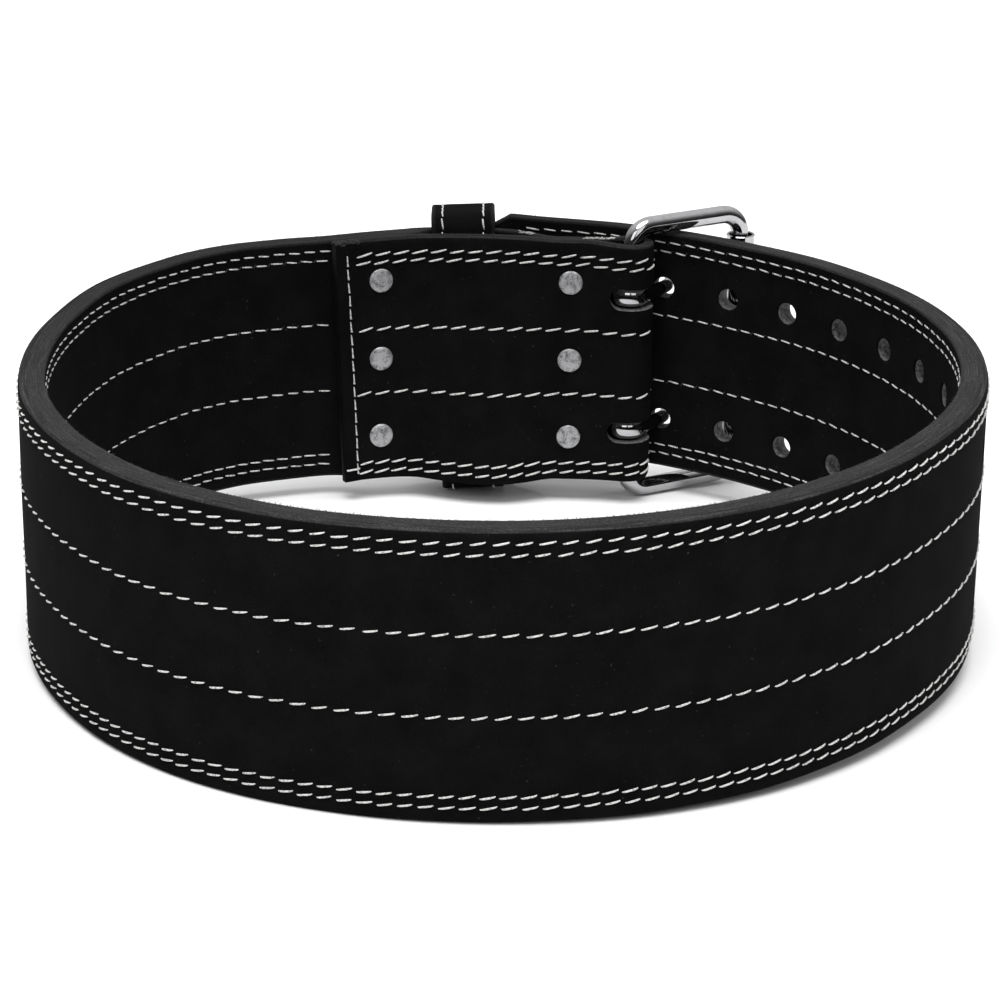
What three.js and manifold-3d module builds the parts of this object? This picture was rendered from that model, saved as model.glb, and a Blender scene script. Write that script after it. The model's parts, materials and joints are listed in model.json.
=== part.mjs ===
// Double-prong leather powerlifting belt, buckled into a loop and standing on its lower edge.
// Millimetres, +Z up. In plan the waist centre is the origin, the buckle lies at the back (+Y)
// and the belt's face is its outer suede side.

import * as THREE from "three";
import { mergeVertices } from "three/addons/utils/BufferGeometryUtils.js";
import Module from "manifold-3d";

const wasm = await Module();
wasm.setup();

// Strap
const strapWidth = 101.6;
const strapThickness = 10;
const tongueThickness = 6.5;
const foldedThickness = 4.3;
const faceEdgeDepth = 2;
const faceEdgeHeight = 3;
const backEdgeRound = 0.6;
const loopRadius = 175;
const layerGap = 0.3;

// Tongue, the free end that lies outside the buckle end
const tongueEnd = -22.5;
const tongueLift = 5.2;
const tongueStandOff = 3;
const tipCutLength = 25;
const tipCutHeight = 16;

// Punched holes
const holeDiameter = 8.8;
const holePitch = 30.4;
const holePairs = 9;
const holeRowSpacing = 57.2;
const holeRowDrop = 1.5;
const tipToFirstHole = 92;

// Buckle
const wireDiameter = 7.5;
const frameClearance = 2.2;
const frameSag = 0.5;
const frameCornerRadius = 9;
const frameSwing = 29.5;
const barToRoller = 52.7;
const barAcross = 51.5;
const barInset = 15;
const foldSlack = 1.45;
const rollerDiameter = 11.8;
const rollerWall = 1;
const rollerSeam = 0.7;
const prongDiameter = 5.5;
const prongLoopThickness = 3.8;
const prongLoopHeight = 7.4;
const prongPastRoller = 9;
const slotHeight = 9;
const slotClearance = 0.6;
const metalGap = 0.3;

// Panel, the folded-over end inside the belt
const panelEnd = -66.5;
const panelEndSlant = 4;
const panelBow = 8;
const panelLean = 18;
const keeperPocket = 14;

// Rivets
const rivetHeadDiameter = 9.8;
const rivetHeadThickness = 1.1;
const rivetShankDiameter = 4;
const rivetHoleClearance = 0.4;
const rivetHeadGap = 0.6;
const rivetColumnInner = 27;
const rivetColumnOuter = -50.5;
const rivetGrip = 7;
const rivetEdgeInset = 18.1;
const rivetRowLift = 0.8;

// Keeper
const keeperAcross = -14.8;
const keeperWidth = 26;
const keeperThickness = 2.8;
const keeperAbove = 7.4;
const keeperBelow = 7;
const keeperTurn = 2.7;
const keeperCorner = 3.2;
const keeperGap = 0.5;

// Rest: the plan direction, in degrees from +X, towards which the buckle side is propped up
const restHeading = 64;

const blackSuede = new THREE.MeshStandardMaterial({ color: 0x151516, roughness: 0.95, metalness: 0 });
const chrome = new THREE.MeshStandardMaterial({ color: 0xd8dadd, roughness: 0.12, metalness: 1 });
const aluminium = new THREE.MeshStandardMaterial({ color: 0x9b9a9c, roughness: 0.5, metalness: 0.8 });

const radians = THREE.MathUtils.degToRad;
const up = new THREE.Vector3(0, 0, 1);
const wireRadius = wireDiameter / 2;
const foldRadius = wireRadius + foldSlack + foldedThickness;
const barReach = loopRadius - barInset;
const frameInnerHeight = strapWidth + 2 * frameClearance;
const rivetRise = strapWidth / 2 - rivetEdgeInset;
const panelFaceLine = barReach - foldRadius;
const bar = new THREE.Vector3(barAcross, barReach, 0);
const frameDirection = new THREE.Vector3(Math.cos(radians(frameSwing)), Math.sin(radians(frameSwing)), 0);
const holeRows = [1, -1].map((side) => (strapWidth + side * holeRowSpacing) / 2 - holeRowDrop);

// The waist loop's face, as a turn in degrees from +X and a reach as a share of loopRadius.
// skive is 0 at the full thickness and 1 at the end's own thickness.
const loopShape = [
  { turn: 114.4, reach: 1.034, skive: 0 },
  { turn: 120, reach: 1.053, skive: 0 },
  { turn: 128, reach: 1.076, skive: 0 },
  { turn: 136, reach: 1.078, skive: 0 },
  { turn: 150, reach: 1.054, skive: 0 },
  { turn: 165, reach: 1.018, skive: 0 },
  { turn: 180, reach: 0.999, skive: 0 },
  { turn: 195, reach: 0.996, skive: 0 },
  { turn: 210, reach: 0.995, skive: 0 },
  { turn: 225, reach: 0.998, skive: 0 },
  { turn: 240, reach: 0.991, skive: 0 },
  { turn: 255, reach: 0.977, skive: 0 },
  { turn: 270, reach: 0.965, skive: 0 },
  { turn: 285, reach: 0.958, skive: 0 },
  { turn: 300, reach: 0.953, skive: 0 },
  { turn: 315, reach: 0.952, skive: 0 },
  { turn: 330, reach: 0.957, skive: 0 },
  { turn: 345, reach: 0.977, skive: 0 },
  { turn: 360, reach: 1.0, skive: 0 },
  { turn: 375, reach: 1.026, skive: 0.05 },
  { turn: 390, reach: 1.05, skive: 0.1 },
  { turn: 405, reach: 1.07, skive: 0.2 },
  { turn: 417, reach: 1.081, skive: 0.35 },
  { turn: 426.5, reach: 1.083, skive: 0.55 },
];

// The two layers of the buckle end from its cut end to the bar. bow is the panel's outward
// bow as a share of panelBow, lean and strapLean how far each layer's top leans out as shares
// of panelLean, pocket the room between them as a share of keeperPocket (0 where they are
// riveted), and skive the strap's thinning from full thickness to the folded ply.
const afterKeeper = rivetColumnInner + rivetGrip;
const buckleEndShape = [
  { x: panelEnd, bow: -0.25, lean: 0.28, strapLean: 0.17, pocket: 0.24, skive: 0 },
  { x: rivetColumnOuter - rivetGrip, bow: 0.34, lean: 0.4, strapLean: 0.4, pocket: 0.01, skive: 0 },
  { x: rivetColumnOuter, bow: 0.63, lean: 0.42, strapLean: 0.42, pocket: 0, skive: 0 },
  { x: rivetColumnOuter + rivetGrip, bow: 0.87, lean: 0.45, strapLean: 0.45, pocket: 0.01, skive: 0 },
  { x: keeperAcross - 0.82 * keeperWidth, bow: 1, lean: 0.55, strapLean: 0.36, pocket: 0.34, skive: 0.4 },
  { x: keeperAcross - 0.5 * keeperWidth, bow: 0.85, lean: 0.75, strapLean: 0.22, pocket: 0.8, skive: 1 },
  { x: keeperAcross + 0.1 * keeperWidth, bow: 0.58, lean: 1, strapLean: 0.11, pocket: 1, skive: 1 },
  { x: keeperAcross + 0.6 * keeperWidth, bow: 0.5, lean: 1, strapLean: 0.11, pocket: 0.94, skive: 1 },
  { x: keeperAcross + 0.9 * keeperWidth, bow: 0.58, lean: 0.8, strapLean: 0.25, pocket: 0.6, skive: 1 },
  { x: rivetColumnInner - rivetGrip, bow: 0.67, lean: 0.34, strapLean: 0.34, pocket: 0, skive: 1 },
  { x: rivetColumnInner, bow: 0.64, lean: 0.32, strapLean: 0.32, pocket: 0, skive: 1 },
  { x: afterKeeper, bow: 0.6, lean: 0.29, strapLean: 0.29, pocket: 0.02, skive: 1 },
  { x: (afterKeeper + barAcross) / 2, bow: 0.27, lean: 0.08, strapLean: 0.08, pocket: 0.36, skive: 1 },
];

// The tongue past the loop. out is its distance outside the buckle end as a share of
// tongueStandOff, lift its rise as a share of tongueLift, cut its corner cut as a share of
// tipCutHeight.
const tongueShape = [
  { x: barAcross, out: -0.83, lift: 0.31, skive: 0.8, cut: 0 },
  { x: 0.8 * barAcross, out: -0.4, lift: 0.42, skive: 0.95, cut: 0 },
  { x: tongueEnd + 1.5 * tipCutLength, out: 0.2, lift: 0.69, skive: 1, cut: 0 },
  { x: tongueEnd + tipCutLength, out: 0.67, lift: 0.83, skive: 1, cut: 0 },
  { x: tongueEnd + 0.5 * tipCutLength, out: 1.1, lift: 0.92, skive: 1, cut: 0.5 },
  { x: tongueEnd, out: 1.4, lift: 1, skive: 1, cut: 1 },
];

const mix = THREE.MathUtils.lerp;
const panelFaceAt = (row) => panelFaceLine + row.bow * panelBow;
const strapPlyAt = (row) => mix(strapThickness, foldedThickness, row.skive);
const strapFaceAt = (row) => {
  const between = layerGap + row.pocket * keeperPocket;
  return panelFaceAt(row) + foldedThickness + between + strapPlyAt(row);
};
const station = (x, y, thickness, more = {}) => (
  { x, y, thickness, lift: 0, lean: 0, cut: 0, slant: 0, ...more }
);

function panelStations() {
  return buckleEndShape.map((row, index) => station(row.x, panelFaceAt(row), foldedThickness, {
    lean: row.lean * panelLean,
    slant: index === 0 ? panelEndSlant : 0,
  }));
}

const foldSteps = 6;

function foldStations() {
  return Array.from({ length: foldSteps + 1 }, (_, step) => {
    const angle = Math.PI * (step / foldSteps - 0.5);
    const x = bar.x + foldRadius * Math.cos(angle);
    return station(x, bar.y + foldRadius * Math.sin(angle), foldedThickness);
  });
}

function strapStations() {
  return [...buckleEndShape].reverse().map((row) => station(row.x, strapFaceAt(row), strapPlyAt(row), {
    lean: row.strapLean * panelLean,
  }));
}

function loopStations() {
  return loopShape.map(({ turn, reach, skive }) => {
    const radius = reach * loopRadius;
    const thickness = mix(strapThickness, tongueThickness, skive);
    return station(radius * Math.cos(radians(turn)), radius * Math.sin(radians(turn)), thickness, {
      lift: turn > 420 ? 0.16 * tongueLift : 0,
    });
  });
}

function tongueStations() {
  const strapFace = Math.max(...buckleEndShape.map(strapFaceAt));
  return tongueShape.map((row) => {
    const y = strapFace + tongueThickness + row.out * tongueStandOff;
    return station(row.x, y, mix(strapThickness, tongueThickness, row.skive), {
      lift: row.lift * tongueLift,
      cut: row.cut * tipCutHeight,
    });
  });
}

// A path through stations: its points with the size of the strap at each.
function strapPath() {
  const stations = [
    ...panelStations(), ...foldStations(), ...strapStations(), ...loopStations(), ...tongueStations(),
  ];
  const points = stations.map(({ x, y }) => new THREE.Vector3(x, y, 0));
  const curve = new THREE.CatmullRomCurve3(points, false, "centripetal");
  curve.arcLengthDivisions = 20 * stations.length;
  const at = (t) => {
    const place = t * (stations.length - 1);
    const first = Math.min(Math.floor(place), stations.length - 2);
    const share = place - first;
    const blend = (name) => mix(stations[first][name], stations[first + 1][name], share);
    const tangent = curve.getTangent(t);
    return {
      point: curve.getPoint(t),
      tangent,
      outward: new THREE.Vector3(tangent.y, -tangent.x, 0),
      thickness: blend("thickness"),
      lift: blend("lift"),
      lean: blend("lean"),
      cut: blend("cut"),
      slant: blend("slant"),
    };
  };
  const atDistance = (fromTip) => at(curve.getUtoTmapping(1 - fromTip / curve.getLength()));
  return { points, at, atDistance };
}

const path = strapPath();

// The strap's cross-section as [depth below the face, height] pairs, round the outline.
function strapSection({ thickness, cut }) {
  const depth = Math.min(faceEdgeDepth, 0.3 * thickness);
  const height = Math.min(faceEdgeHeight, 0.7 * thickness);
  const round = Math.min(backEdgeRound, 0.2 * thickness);
  const low = cut;
  const high = strapWidth - cut;
  return [
    [depth, low], [0.3 * depth, low + 0.3 * height], [0, low + height],
    [0, high - height], [0.3 * depth, high - 0.3 * height], [depth, high],
    [thickness - round, high], [thickness, high - round],
    [thickness, low + round], [thickness - round, low],
  ];
}

function strapRing(section) {
  const { point, outward, lift, lean, slant } = section;
  return strapSection(section).map(([depth, height]) => {
    const share = height / strapWidth - 0.5;
    return new THREE.Vector3(
      point.x - depth * outward.x - slant * share,
      point.y - depth * outward.y + lean * share,
      height + lift,
    );
  });
}

// Skins rings of points into one closed body, with a fan over each open end.
function skin(rings, closed = false) {
  const size = rings[0].length;
  const position = rings.flat().flatMap((point) => point.toArray());
  const index = [];
  const spans = closed ? rings.length : rings.length - 1;
  for (let ring = 0; ring < spans; ring += 1) {
    const next = (ring + 1) % rings.length;
    for (let side = 0; side < size; side += 1) {
      const across = (side + 1) % size;
      const [a, b] = [ring * size + side, ring * size + across];
      const [c, d] = [next * size + side, next * size + across];
      index.push(a, d, b, a, c, d);
    }
  }
  if (!closed) {
    const last = (rings.length - 1) * size;
    for (let side = 1; side < size - 1; side += 1) {
      index.push(0, side, side + 1, last, last + side + 1, last + side);
    }
  }
  const geometry = new THREE.BufferGeometry();
  geometry.setAttribute("position", new THREE.Float32BufferAttribute(position, 3));
  geometry.setIndex(index);
  return geometry;
}

function toSolid(geometry) {
  const bare = geometry.clone();
  bare.deleteAttribute("normal");
  bare.deleteAttribute("uv");
  const merged = mergeVertices(bare, 1e-4);
  return new wasm.Manifold(new wasm.Mesh({
    numProp: 3,
    vertProperties: new Float32Array(merged.attributes.position.array),
    triVerts: new Uint32Array(merged.index.array),
  }));
}

function toGeometry(solid) {
  const mesh = solid.getMesh();
  const geometry = new THREE.BufferGeometry();
  geometry.setAttribute("position", new THREE.Float32BufferAttribute(mesh.vertProperties, 3));
  geometry.setIndex(Array.from(mesh.triVerts));
  return geometry;
}

// A round cutter along a direction, centred on a point.
function roundCutter(centre, direction, diameter, length, sides = 12) {
  const cutter = new THREE.CylinderGeometry(diameter / 2, diameter / 2, length, sides);
  const turn = new THREE.Quaternion().setFromUnitVectors(new THREE.Vector3(0, 1, 0), direction);
  cutter.applyQuaternion(turn).translate(centre.x, centre.y, centre.z);
  return toSolid(cutter);
}

// The centre of each punched hole, in the middle of the strap's thickness.
function holeCentre(pair, row) {
  const section = path.atDistance(tipToFirstHole + pair * holePitch);
  const centre = section.point.clone().addScaledVector(section.outward, -section.thickness / 2);
  centre.z = row + section.lift;
  return { centre, outward: section.outward, thickness: section.thickness };
}

// The place on the path, between two stations, whose x is the given one.
function pathAcross(across, from, to) {
  const last = path.points.length - 1;
  const sign = Math.sign(path.points[to].x - path.points[from].x);
  let [low, high] = [from / last, to / last];
  for (let halving = 0; halving < 30; halving += 1) {
    const middle = (low + high) / 2;
    if (sign * (path.at(middle).point.x - across) < 0) low = middle;
    else high = middle;
  }
  return path.at(low);
}

// Where a rivet sits: the panel's face there, the outward axis and the leather it grips.
function rivetSeat(across, height) {
  const first = buckleEndShape.findIndex((row) => row.x > across) - 1;
  const strapFirst = 2 * buckleEndShape.length + foldSteps - first;
  const panel = pathAcross(across, first, first + 1);
  const strap = pathAcross(across, strapFirst - 1, strapFirst);
  const share = height / strapWidth - 0.5;
  const rise = new THREE.Vector3(0, panel.lean / strapWidth, 1).normalize();
  const along = panel.tangent.clone().sub(strap.tangent).normalize();
  const axis = new THREE.Vector3().crossVectors(rise, along).normalize();
  const face = new THREE.Vector3(across, panel.point.y + panel.lean * share, height);
  const grip = (strap.point.y + (strap.lean - panel.lean) * share - panel.point.y) * axis.y;
  return { face, axis, grip };
}

const rivets = [
  { name: "inner", across: rivetColumnInner },
  { name: "outer", across: rivetColumnOuter },
].flatMap(({ name, across }) => [
  { name: `rivet_${name}_top`, seat: rivetSeat(across, strapWidth / 2 + rivetRowLift + rivetRise) },
  { name: `rivet_${name}_middle`, seat: rivetSeat(across, strapWidth / 2 + rivetRowLift) },
  { name: `rivet_${name}_bottom`, seat: rivetSeat(across, strapWidth / 2 + rivetRowLift - rivetRise) },
]);

const loopOuterRadius = wireRadius + metalGap + prongLoopThickness;

// The slot for a prong runs round the fold, so one cutter passes through both layers.
function slotCutter(row) {
  const round = slotHeight / 2;
  const start = bar.x - loopOuterRadius - slotClearance + round;
  const reach = foldRadius + 1;
  const outline = new THREE.Shape();
  outline.moveTo(bar.x + reach, round);
  outline.lineTo(start, round);
  outline.absarc(start, 0, round, Math.PI / 2, 1.5 * Math.PI, false);
  outline.lineTo(bar.x + reach, -round);
  const cutter = new THREE.ExtrudeGeometry(outline, { depth: 2 * reach, bevelEnabled: false, curveSegments: 8 });
  cutter.rotateX(Math.PI / 2).translate(0, bar.y + reach, row);
  return toSolid(cutter);
}

function makeStrap() {
  const rings = [];
  const last = path.points.length - 1;
  const longestStep = 12;
  for (let span = 0; span < last; span += 1) {
    const length = path.points[span].distanceTo(path.points[span + 1]);
    const steps = Math.max(1, Math.ceil(length / longestStep));
    for (let step = 0; step < steps; step += 1) rings.push(strapRing(path.at((span + step / steps) / last)));
  }
  rings.push(strapRing(path.at(1)));
  let strap = toSolid(skin(rings));
  for (const row of holeRows) {
    for (let pair = 0; pair < holePairs; pair += 1) {
      const { centre, outward, thickness } = holeCentre(pair, row);
      strap = strap.subtract(roundCutter(centre, outward, holeDiameter, 2 * thickness));
    }
    strap = strap.subtract(slotCutter(prongHeight(row)));
  }
  for (const { seat } of rivets) {
    const centre = seat.face.clone().addScaledVector(seat.axis, seat.grip / 2);
    const diameter = rivetShankDiameter + 2 * rivetHoleClearance;
    strap = strap.subtract(roundCutter(centre, seat.axis, diameter, seat.grip + 4 * rivetHeadThickness, 10));
  }
  return toGeometry(strap);
}

const prongHeight = (row) => holeCentre(0, row).centre.z;

// Rings of a wire along a flat path. Each place has a point, a direction along the path and
// the wire's half thickness in and across the path's plane.
function wireRings(places, planeNormal, sides = 10) {
  return places.map(({ point, direction, inPlane, across }) => {
    const side = new THREE.Vector3().crossVectors(planeNormal, direction).normalize();
    return Array.from({ length: sides }, (_, step) => {
      const angle = (-2 * Math.PI * step) / sides;
      return point.clone()
        .addScaledVector(side, inPlane * Math.cos(angle))
        .addScaledVector(planeNormal, across * Math.sin(angle));
    });
  });
}

const rollerCentre = bar.clone().addScaledVector(frameDirection, barToRoller);

function makeFrame() {
  const halfHeight = (frameInnerHeight + wireDiameter) / 2;
  const middle = bar.clone().addScaledVector(frameDirection, barToRoller / 2);
  middle.z = strapWidth / 2 - frameSag;
  const cornerSteps = 5;
  const places = [];
  for (let corner = 0; corner < 4; corner += 1) {
    const side = corner === 0 || corner === 3 ? 1 : -1;
    const rise = corner < 2 ? 1 : -1;
    for (let step = 0; step <= cornerSteps; step += 1) {
      const angle = (Math.PI / 2) * (corner + step / cornerSteps);
      const across = side * (barToRoller / 2 - frameCornerRadius) + frameCornerRadius * Math.cos(angle);
      const height = rise * (halfHeight - frameCornerRadius) + frameCornerRadius * Math.sin(angle);
      places.push({
        point: middle.clone().addScaledVector(frameDirection, across).addScaledVector(up, height),
        direction: frameDirection.clone().multiplyScalar(-Math.sin(angle)).addScaledVector(up, Math.cos(angle)),
        inPlane: wireRadius,
        across: wireRadius,
      });
    }
  }
  const planeNormal = new THREE.Vector3().crossVectors(frameDirection, up);
  return skin(wireRings(places, planeNormal, 12), true);
}

// The roller is a rolled tube with an open seam, resting on the bar under the prongs' tips.
function makeRoller() {
  const outer = rollerDiameter / 2;
  const inner = outer - rollerWall;
  const seam = rollerSeam / 2 / outer;
  const outline = new THREE.Shape();
  outline.absarc(0, 0, outer, seam, 2 * Math.PI - seam, false);
  outline.absarc(0, 0, inner, 2 * Math.PI - seam, seam, true);
  const length = frameInnerHeight + wireDiameter - 2 * frameCornerRadius;
  const tube = new THREE.ExtrudeGeometry(outline, { depth: length, bevelEnabled: false, curveSegments: 24 });
  const play = inner - wireRadius - metalGap;
  const inward = new THREE.Vector3().crossVectors(frameDirection, up);
  const place = rollerCentre.clone().addScaledVector(inward, play);
  return tube.translate(place.x, place.y, (strapWidth - length) / 2 - frameSag);
}

// A prong loops round the near bar, passes square through the strap's first hole and rests
// its tip on the roller.
function makeProng(row) {
  const height = prongHeight(row);
  const hole = holeCentre(0, row);
  const loopRadiusHere = wireRadius + metalGap + prongLoopThickness / 2;
  const leave = Math.atan2(hole.outward.y, hole.outward.x) - Math.PI / 2;
  const loopStart = leave - radians(275);
  const loopSteps = 12;
  const points = Array.from({ length: loopSteps + 1 }, (_, step) => {
    const angle = mix(loopStart, leave, step / loopSteps);
    return new THREE.Vector3(Math.cos(angle), Math.sin(angle), 0).multiplyScalar(loopRadiusHere).add(bar);
  });
  const inward = new THREE.Vector3().crossVectors(frameDirection, up);
  const play = rollerDiameter / 2 - rollerWall - wireRadius - metalGap;
  const rest = rollerCentre.clone()
    .addScaledVector(inward, play - rollerDiameter / 2 - metalGap - prongDiameter / 2);
  points.push(hole.centre.clone().setZ(0));
  points.push(hole.centre.clone().setZ(0).addScaledVector(hole.outward, hole.thickness));
  points.push(rest);
  points.push(rest.clone().addScaledVector(frameDirection, prongPastRoller));
  const curve = new THREE.CatmullRomCurve3(points, false, "centripetal");
  const last = points.length - 1;
  const places = [];
  const add = (t, scale) => {
    const loopShare = THREE.MathUtils.smoothstep(t * last, loopSteps - 0.2, loopSteps + 0.9);
    places.push({
      point: curve.getPoint(t).setZ(height),
      direction: curve.getTangent(t),
      inPlane: scale * mix(prongLoopThickness, prongDiameter, loopShare) / 2,
      across: scale * mix(prongLoopHeight, prongDiameter, loopShare) / 2,
    });
  };
  add(0, 0.8);
  for (let step = 1; step <= loopSteps; step += 1) add((step - 0.5) / last, 1);
  const shankSteps = 4;
  for (let span = loopSteps; span < last; span += 1) {
    for (let step = 0; step < shankSteps; step += 1) add((span + step / shankSteps) / last, 1);
  }
  const tip = places[places.length - 1];
  places.push({ ...tip, point: curve.getPoint(1).setZ(height), inPlane: 0.45 * tip.inPlane, across: 0.45 * tip.across });
  return skin(wireRings(places, up));
}

function makeRivet({ face, axis, grip }) {
  const head = rivetHeadDiameter / 2;
  const shank = rivetShankDiameter / 2;
  const low = -rivetHeadGap;
  const high = grip + rivetHeadGap;
  const soft = 0.3 * rivetHeadThickness;
  const profile = [
    [0, low - rivetHeadThickness], [head - soft, low - rivetHeadThickness],
    [head, low - rivetHeadThickness + soft], [head, low], [shank, low],
    [shank, high], [head, high], [head, high + rivetHeadThickness - soft],
    [head - soft, high + rivetHeadThickness], [0, high + rivetHeadThickness],
  ].map(([radius, along]) => new THREE.Vector2(radius, along));
  const rivet = new THREE.LatheGeometry(profile, 16);
  rivet.applyQuaternion(new THREE.Quaternion().setFromUnitVectors(new THREE.Vector3(0, 1, 0), axis));
  return rivet.translate(face.x, face.y, face.z);
}

// An outline with its corners rounded, set off from the corner points by a distance.
function roundedOutline(Kind, corners, offset, radius) {
  const outline = new Kind();
  corners.forEach((corner, index) => {
    const before = corners[(index + corners.length - 1) % corners.length];
    const after = corners[(index + 1) % corners.length];
    const into = corner.clone().sub(before).normalize();
    const away = after.clone().sub(corner).normalize();
    const spread = offset / (1 + into.dot(away));
    const outer = corner.clone()
      .addScaledVector(new THREE.Vector2(into.y + away.y, -into.x - away.x), spread);
    const reach = radius + offset;
    const start = outer.clone().addScaledVector(into, -reach);
    const end = outer.clone().addScaledVector(away, reach);
    if (index === 0) outline.moveTo(start.x, start.y);
    else outline.lineTo(start.x, start.y);
    outline.quadraticCurveTo(outer.x, outer.y, end.x, end.y);
  });
  outline.closePath();
  return outline;
}

// The keeper is a band round the strap and the tongue, its inner run behind the panel.
function makeKeeper() {
  const rows = buckleEndShape.filter((row) => Math.abs(row.x - keeperAcross) < 0.9 * keeperWidth);
  const panelBackAt = (row, side) => panelFaceAt(row) + foldedThickness + side * row.lean * panelLean / 2;
  const half = keeperThickness / 2;
  const innerTop = Math.max(...rows.map((row) => panelBackAt(row, 1))) + keeperGap + half;
  const innerBottom = Math.max(...rows.map((row) => panelBackAt(row, -1))) + keeperGap + half;
  const tongueFace = Math.max(...tongueStations().map(({ y }) => y));
  const outerRun = tongueFace + keeperGap + half;
  const slope = (innerTop - innerBottom) / strapWidth;
  const top = strapWidth + keeperAbove - half;
  const bottom = -keeperBelow + half;
  const corners = [
    new THREE.Vector2(innerBottom + slope * bottom, bottom),
    new THREE.Vector2(outerRun, bottom),
    new THREE.Vector2(outerRun, top),
    new THREE.Vector2(innerBottom + slope * top, top),
  ];
  const outline = roundedOutline(THREE.Shape, corners, half, keeperCorner);
  outline.holes.push(roundedOutline(THREE.Path, corners, -half, keeperCorner));
  const band = new THREE.ExtrudeGeometry(outline, { depth: keeperWidth, bevelEnabled: false, curveSegments: 6 });
  band.translate(0, -strapWidth / 2, -keeperWidth / 2);
  band.rotateY(Math.PI / 2).rotateX(Math.PI / 2);
  band.rotateY(-radians(keeperTurn));
  return band.translate(keeperAcross, 0, strapWidth / 2);
}

const belt = new THREE.Group();

function add(name, geometry, material) {
  const mesh = new THREE.Mesh(geometry, material);
  mesh.name = name;
  belt.add(mesh);
}

add("strap", makeStrap(), blackSuede);
add("keeper", makeKeeper(), blackSuede);
add("buckle_frame", makeFrame(), chrome);
add("roller", makeRoller(), chrome);
add("prong_upper", makeProng(holeRows[0]), chrome);
add("prong_lower", makeProng(holeRows[1]), chrome);
for (const { name, seat } of rivets) add(name, makeRivet(seat), aluminium);

// The frame hangs below the strap, so at rest the belt leans until the frame's foot and the
// strap's lower edge opposite it share the floor.
const heading = new THREE.Vector3(Math.cos(radians(restHeading)), Math.sin(radians(restHeading)), 0);
const foot = bar.clone().addScaledVector(frameDirection, frameCornerRadius);
const footDrop = frameInnerHeight / 2 + wireDiameter + frameSag - strapWidth / 2;
const edgeReach = Math.max(...path.points.map((point) => -point.dot(heading))) - faceEdgeDepth;
const restTilt = Math.atan2(footDrop, foot.dot(heading) + edgeReach);
belt.quaternion.setFromAxisAngle(new THREE.Vector3(heading.y, -heading.x, 0), restTilt);
belt.updateMatrixWorld(true);

const extent = new THREE.Box3().setFromObject(belt, true);
belt.position.set(
  -(extent.min.x + extent.max.x) / 2,
  -(extent.min.y + extent.max.y) / 2,
  -extent.min.z,
);

const restingBelt = new THREE.Group();
restingBelt.add(belt);

export default restingBelt;
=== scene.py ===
"""A double-prong powerlifting belt of black suede, buckled into a loop and standing on its edge.

Shapes are worked out in the belt's own upright frame, in millimetres: the waist centre is the
origin, the buckle is at the back (+Y) and the strap's lower edge is at height 0. The packed
lower_edge mount says where that frame lies in the row, and every finished mesh is placed by it.
"""

from __future__ import annotations

import json
import logging
import math
import random
from collections.abc import Callable, Iterable, Sequence
from dataclasses import dataclass, field
from enum import Enum
from functools import cached_property

import bmesh
import bpy
from mathutils import Euler, Matrix, Vector, noise


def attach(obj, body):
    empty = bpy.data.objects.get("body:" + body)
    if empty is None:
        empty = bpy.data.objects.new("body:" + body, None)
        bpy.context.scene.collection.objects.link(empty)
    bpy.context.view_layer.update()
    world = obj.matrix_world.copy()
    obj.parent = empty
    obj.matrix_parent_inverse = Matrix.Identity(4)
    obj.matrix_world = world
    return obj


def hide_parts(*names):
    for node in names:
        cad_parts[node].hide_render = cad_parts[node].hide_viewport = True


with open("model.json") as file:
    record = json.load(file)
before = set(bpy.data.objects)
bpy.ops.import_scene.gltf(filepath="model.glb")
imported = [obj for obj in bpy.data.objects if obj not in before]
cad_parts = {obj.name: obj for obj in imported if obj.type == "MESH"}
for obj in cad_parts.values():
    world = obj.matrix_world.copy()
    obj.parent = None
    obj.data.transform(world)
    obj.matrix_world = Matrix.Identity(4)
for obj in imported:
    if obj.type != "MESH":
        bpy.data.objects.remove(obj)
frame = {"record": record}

log = logging.getLogger("belt")

MM = 0.001
UP = Vector((0, 0, 1))
# Vertices that lie closer than these, in millimetres, are merged: along a grid's seam and on the
# axis of a lathed solid
SEAM_WELD = 1e-5
AXIS_WELD = 1e-4

# The points of a thread or a fibre, each with its radius
Strand = list[tuple[Vector, float]]


class Side(Enum):
    """Which side of the strap a row of thread shows on."""

    FACE = "face"
    BACK = "back"


# Sizes


@dataclass(frozen=True)
class StrapSizes:
    """The strap's sizes in millimetres, the same as in the solid."""

    width: float = 101.6
    thickness: float = 10.0
    tongue_thickness: float = 6.5
    folded_thickness: float = 4.3
    face_edge_depth: float = 2.0
    face_edge_height: float = 3.0
    back_edge_round: float = 0.6
    loop_radius: float = 175.0
    layer_gap: float = 0.3
    tongue_end: float = -22.5
    tongue_lift: float = 5.2
    tongue_stand_off: float = 3.0
    tip_cut_length: float = 25.0
    tip_cut_height: float = 16.0
    panel_end: float = -66.5
    panel_end_slant: float = 4.0
    panel_bow: float = 8.0
    panel_lean: float = 18.0
    keeper_pocket: float = 14.0


@dataclass(frozen=True)
class HoleSizes:
    """The two rows of punched holes, in millimetres."""

    diameter: float = 8.8
    pitch: float = 30.4
    pairs: int = 9
    row_spacing: float = 57.2
    row_drop: float = 1.5
    tip_to_first: float = 92.0
    mouth_flare: float = 0.7


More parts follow.
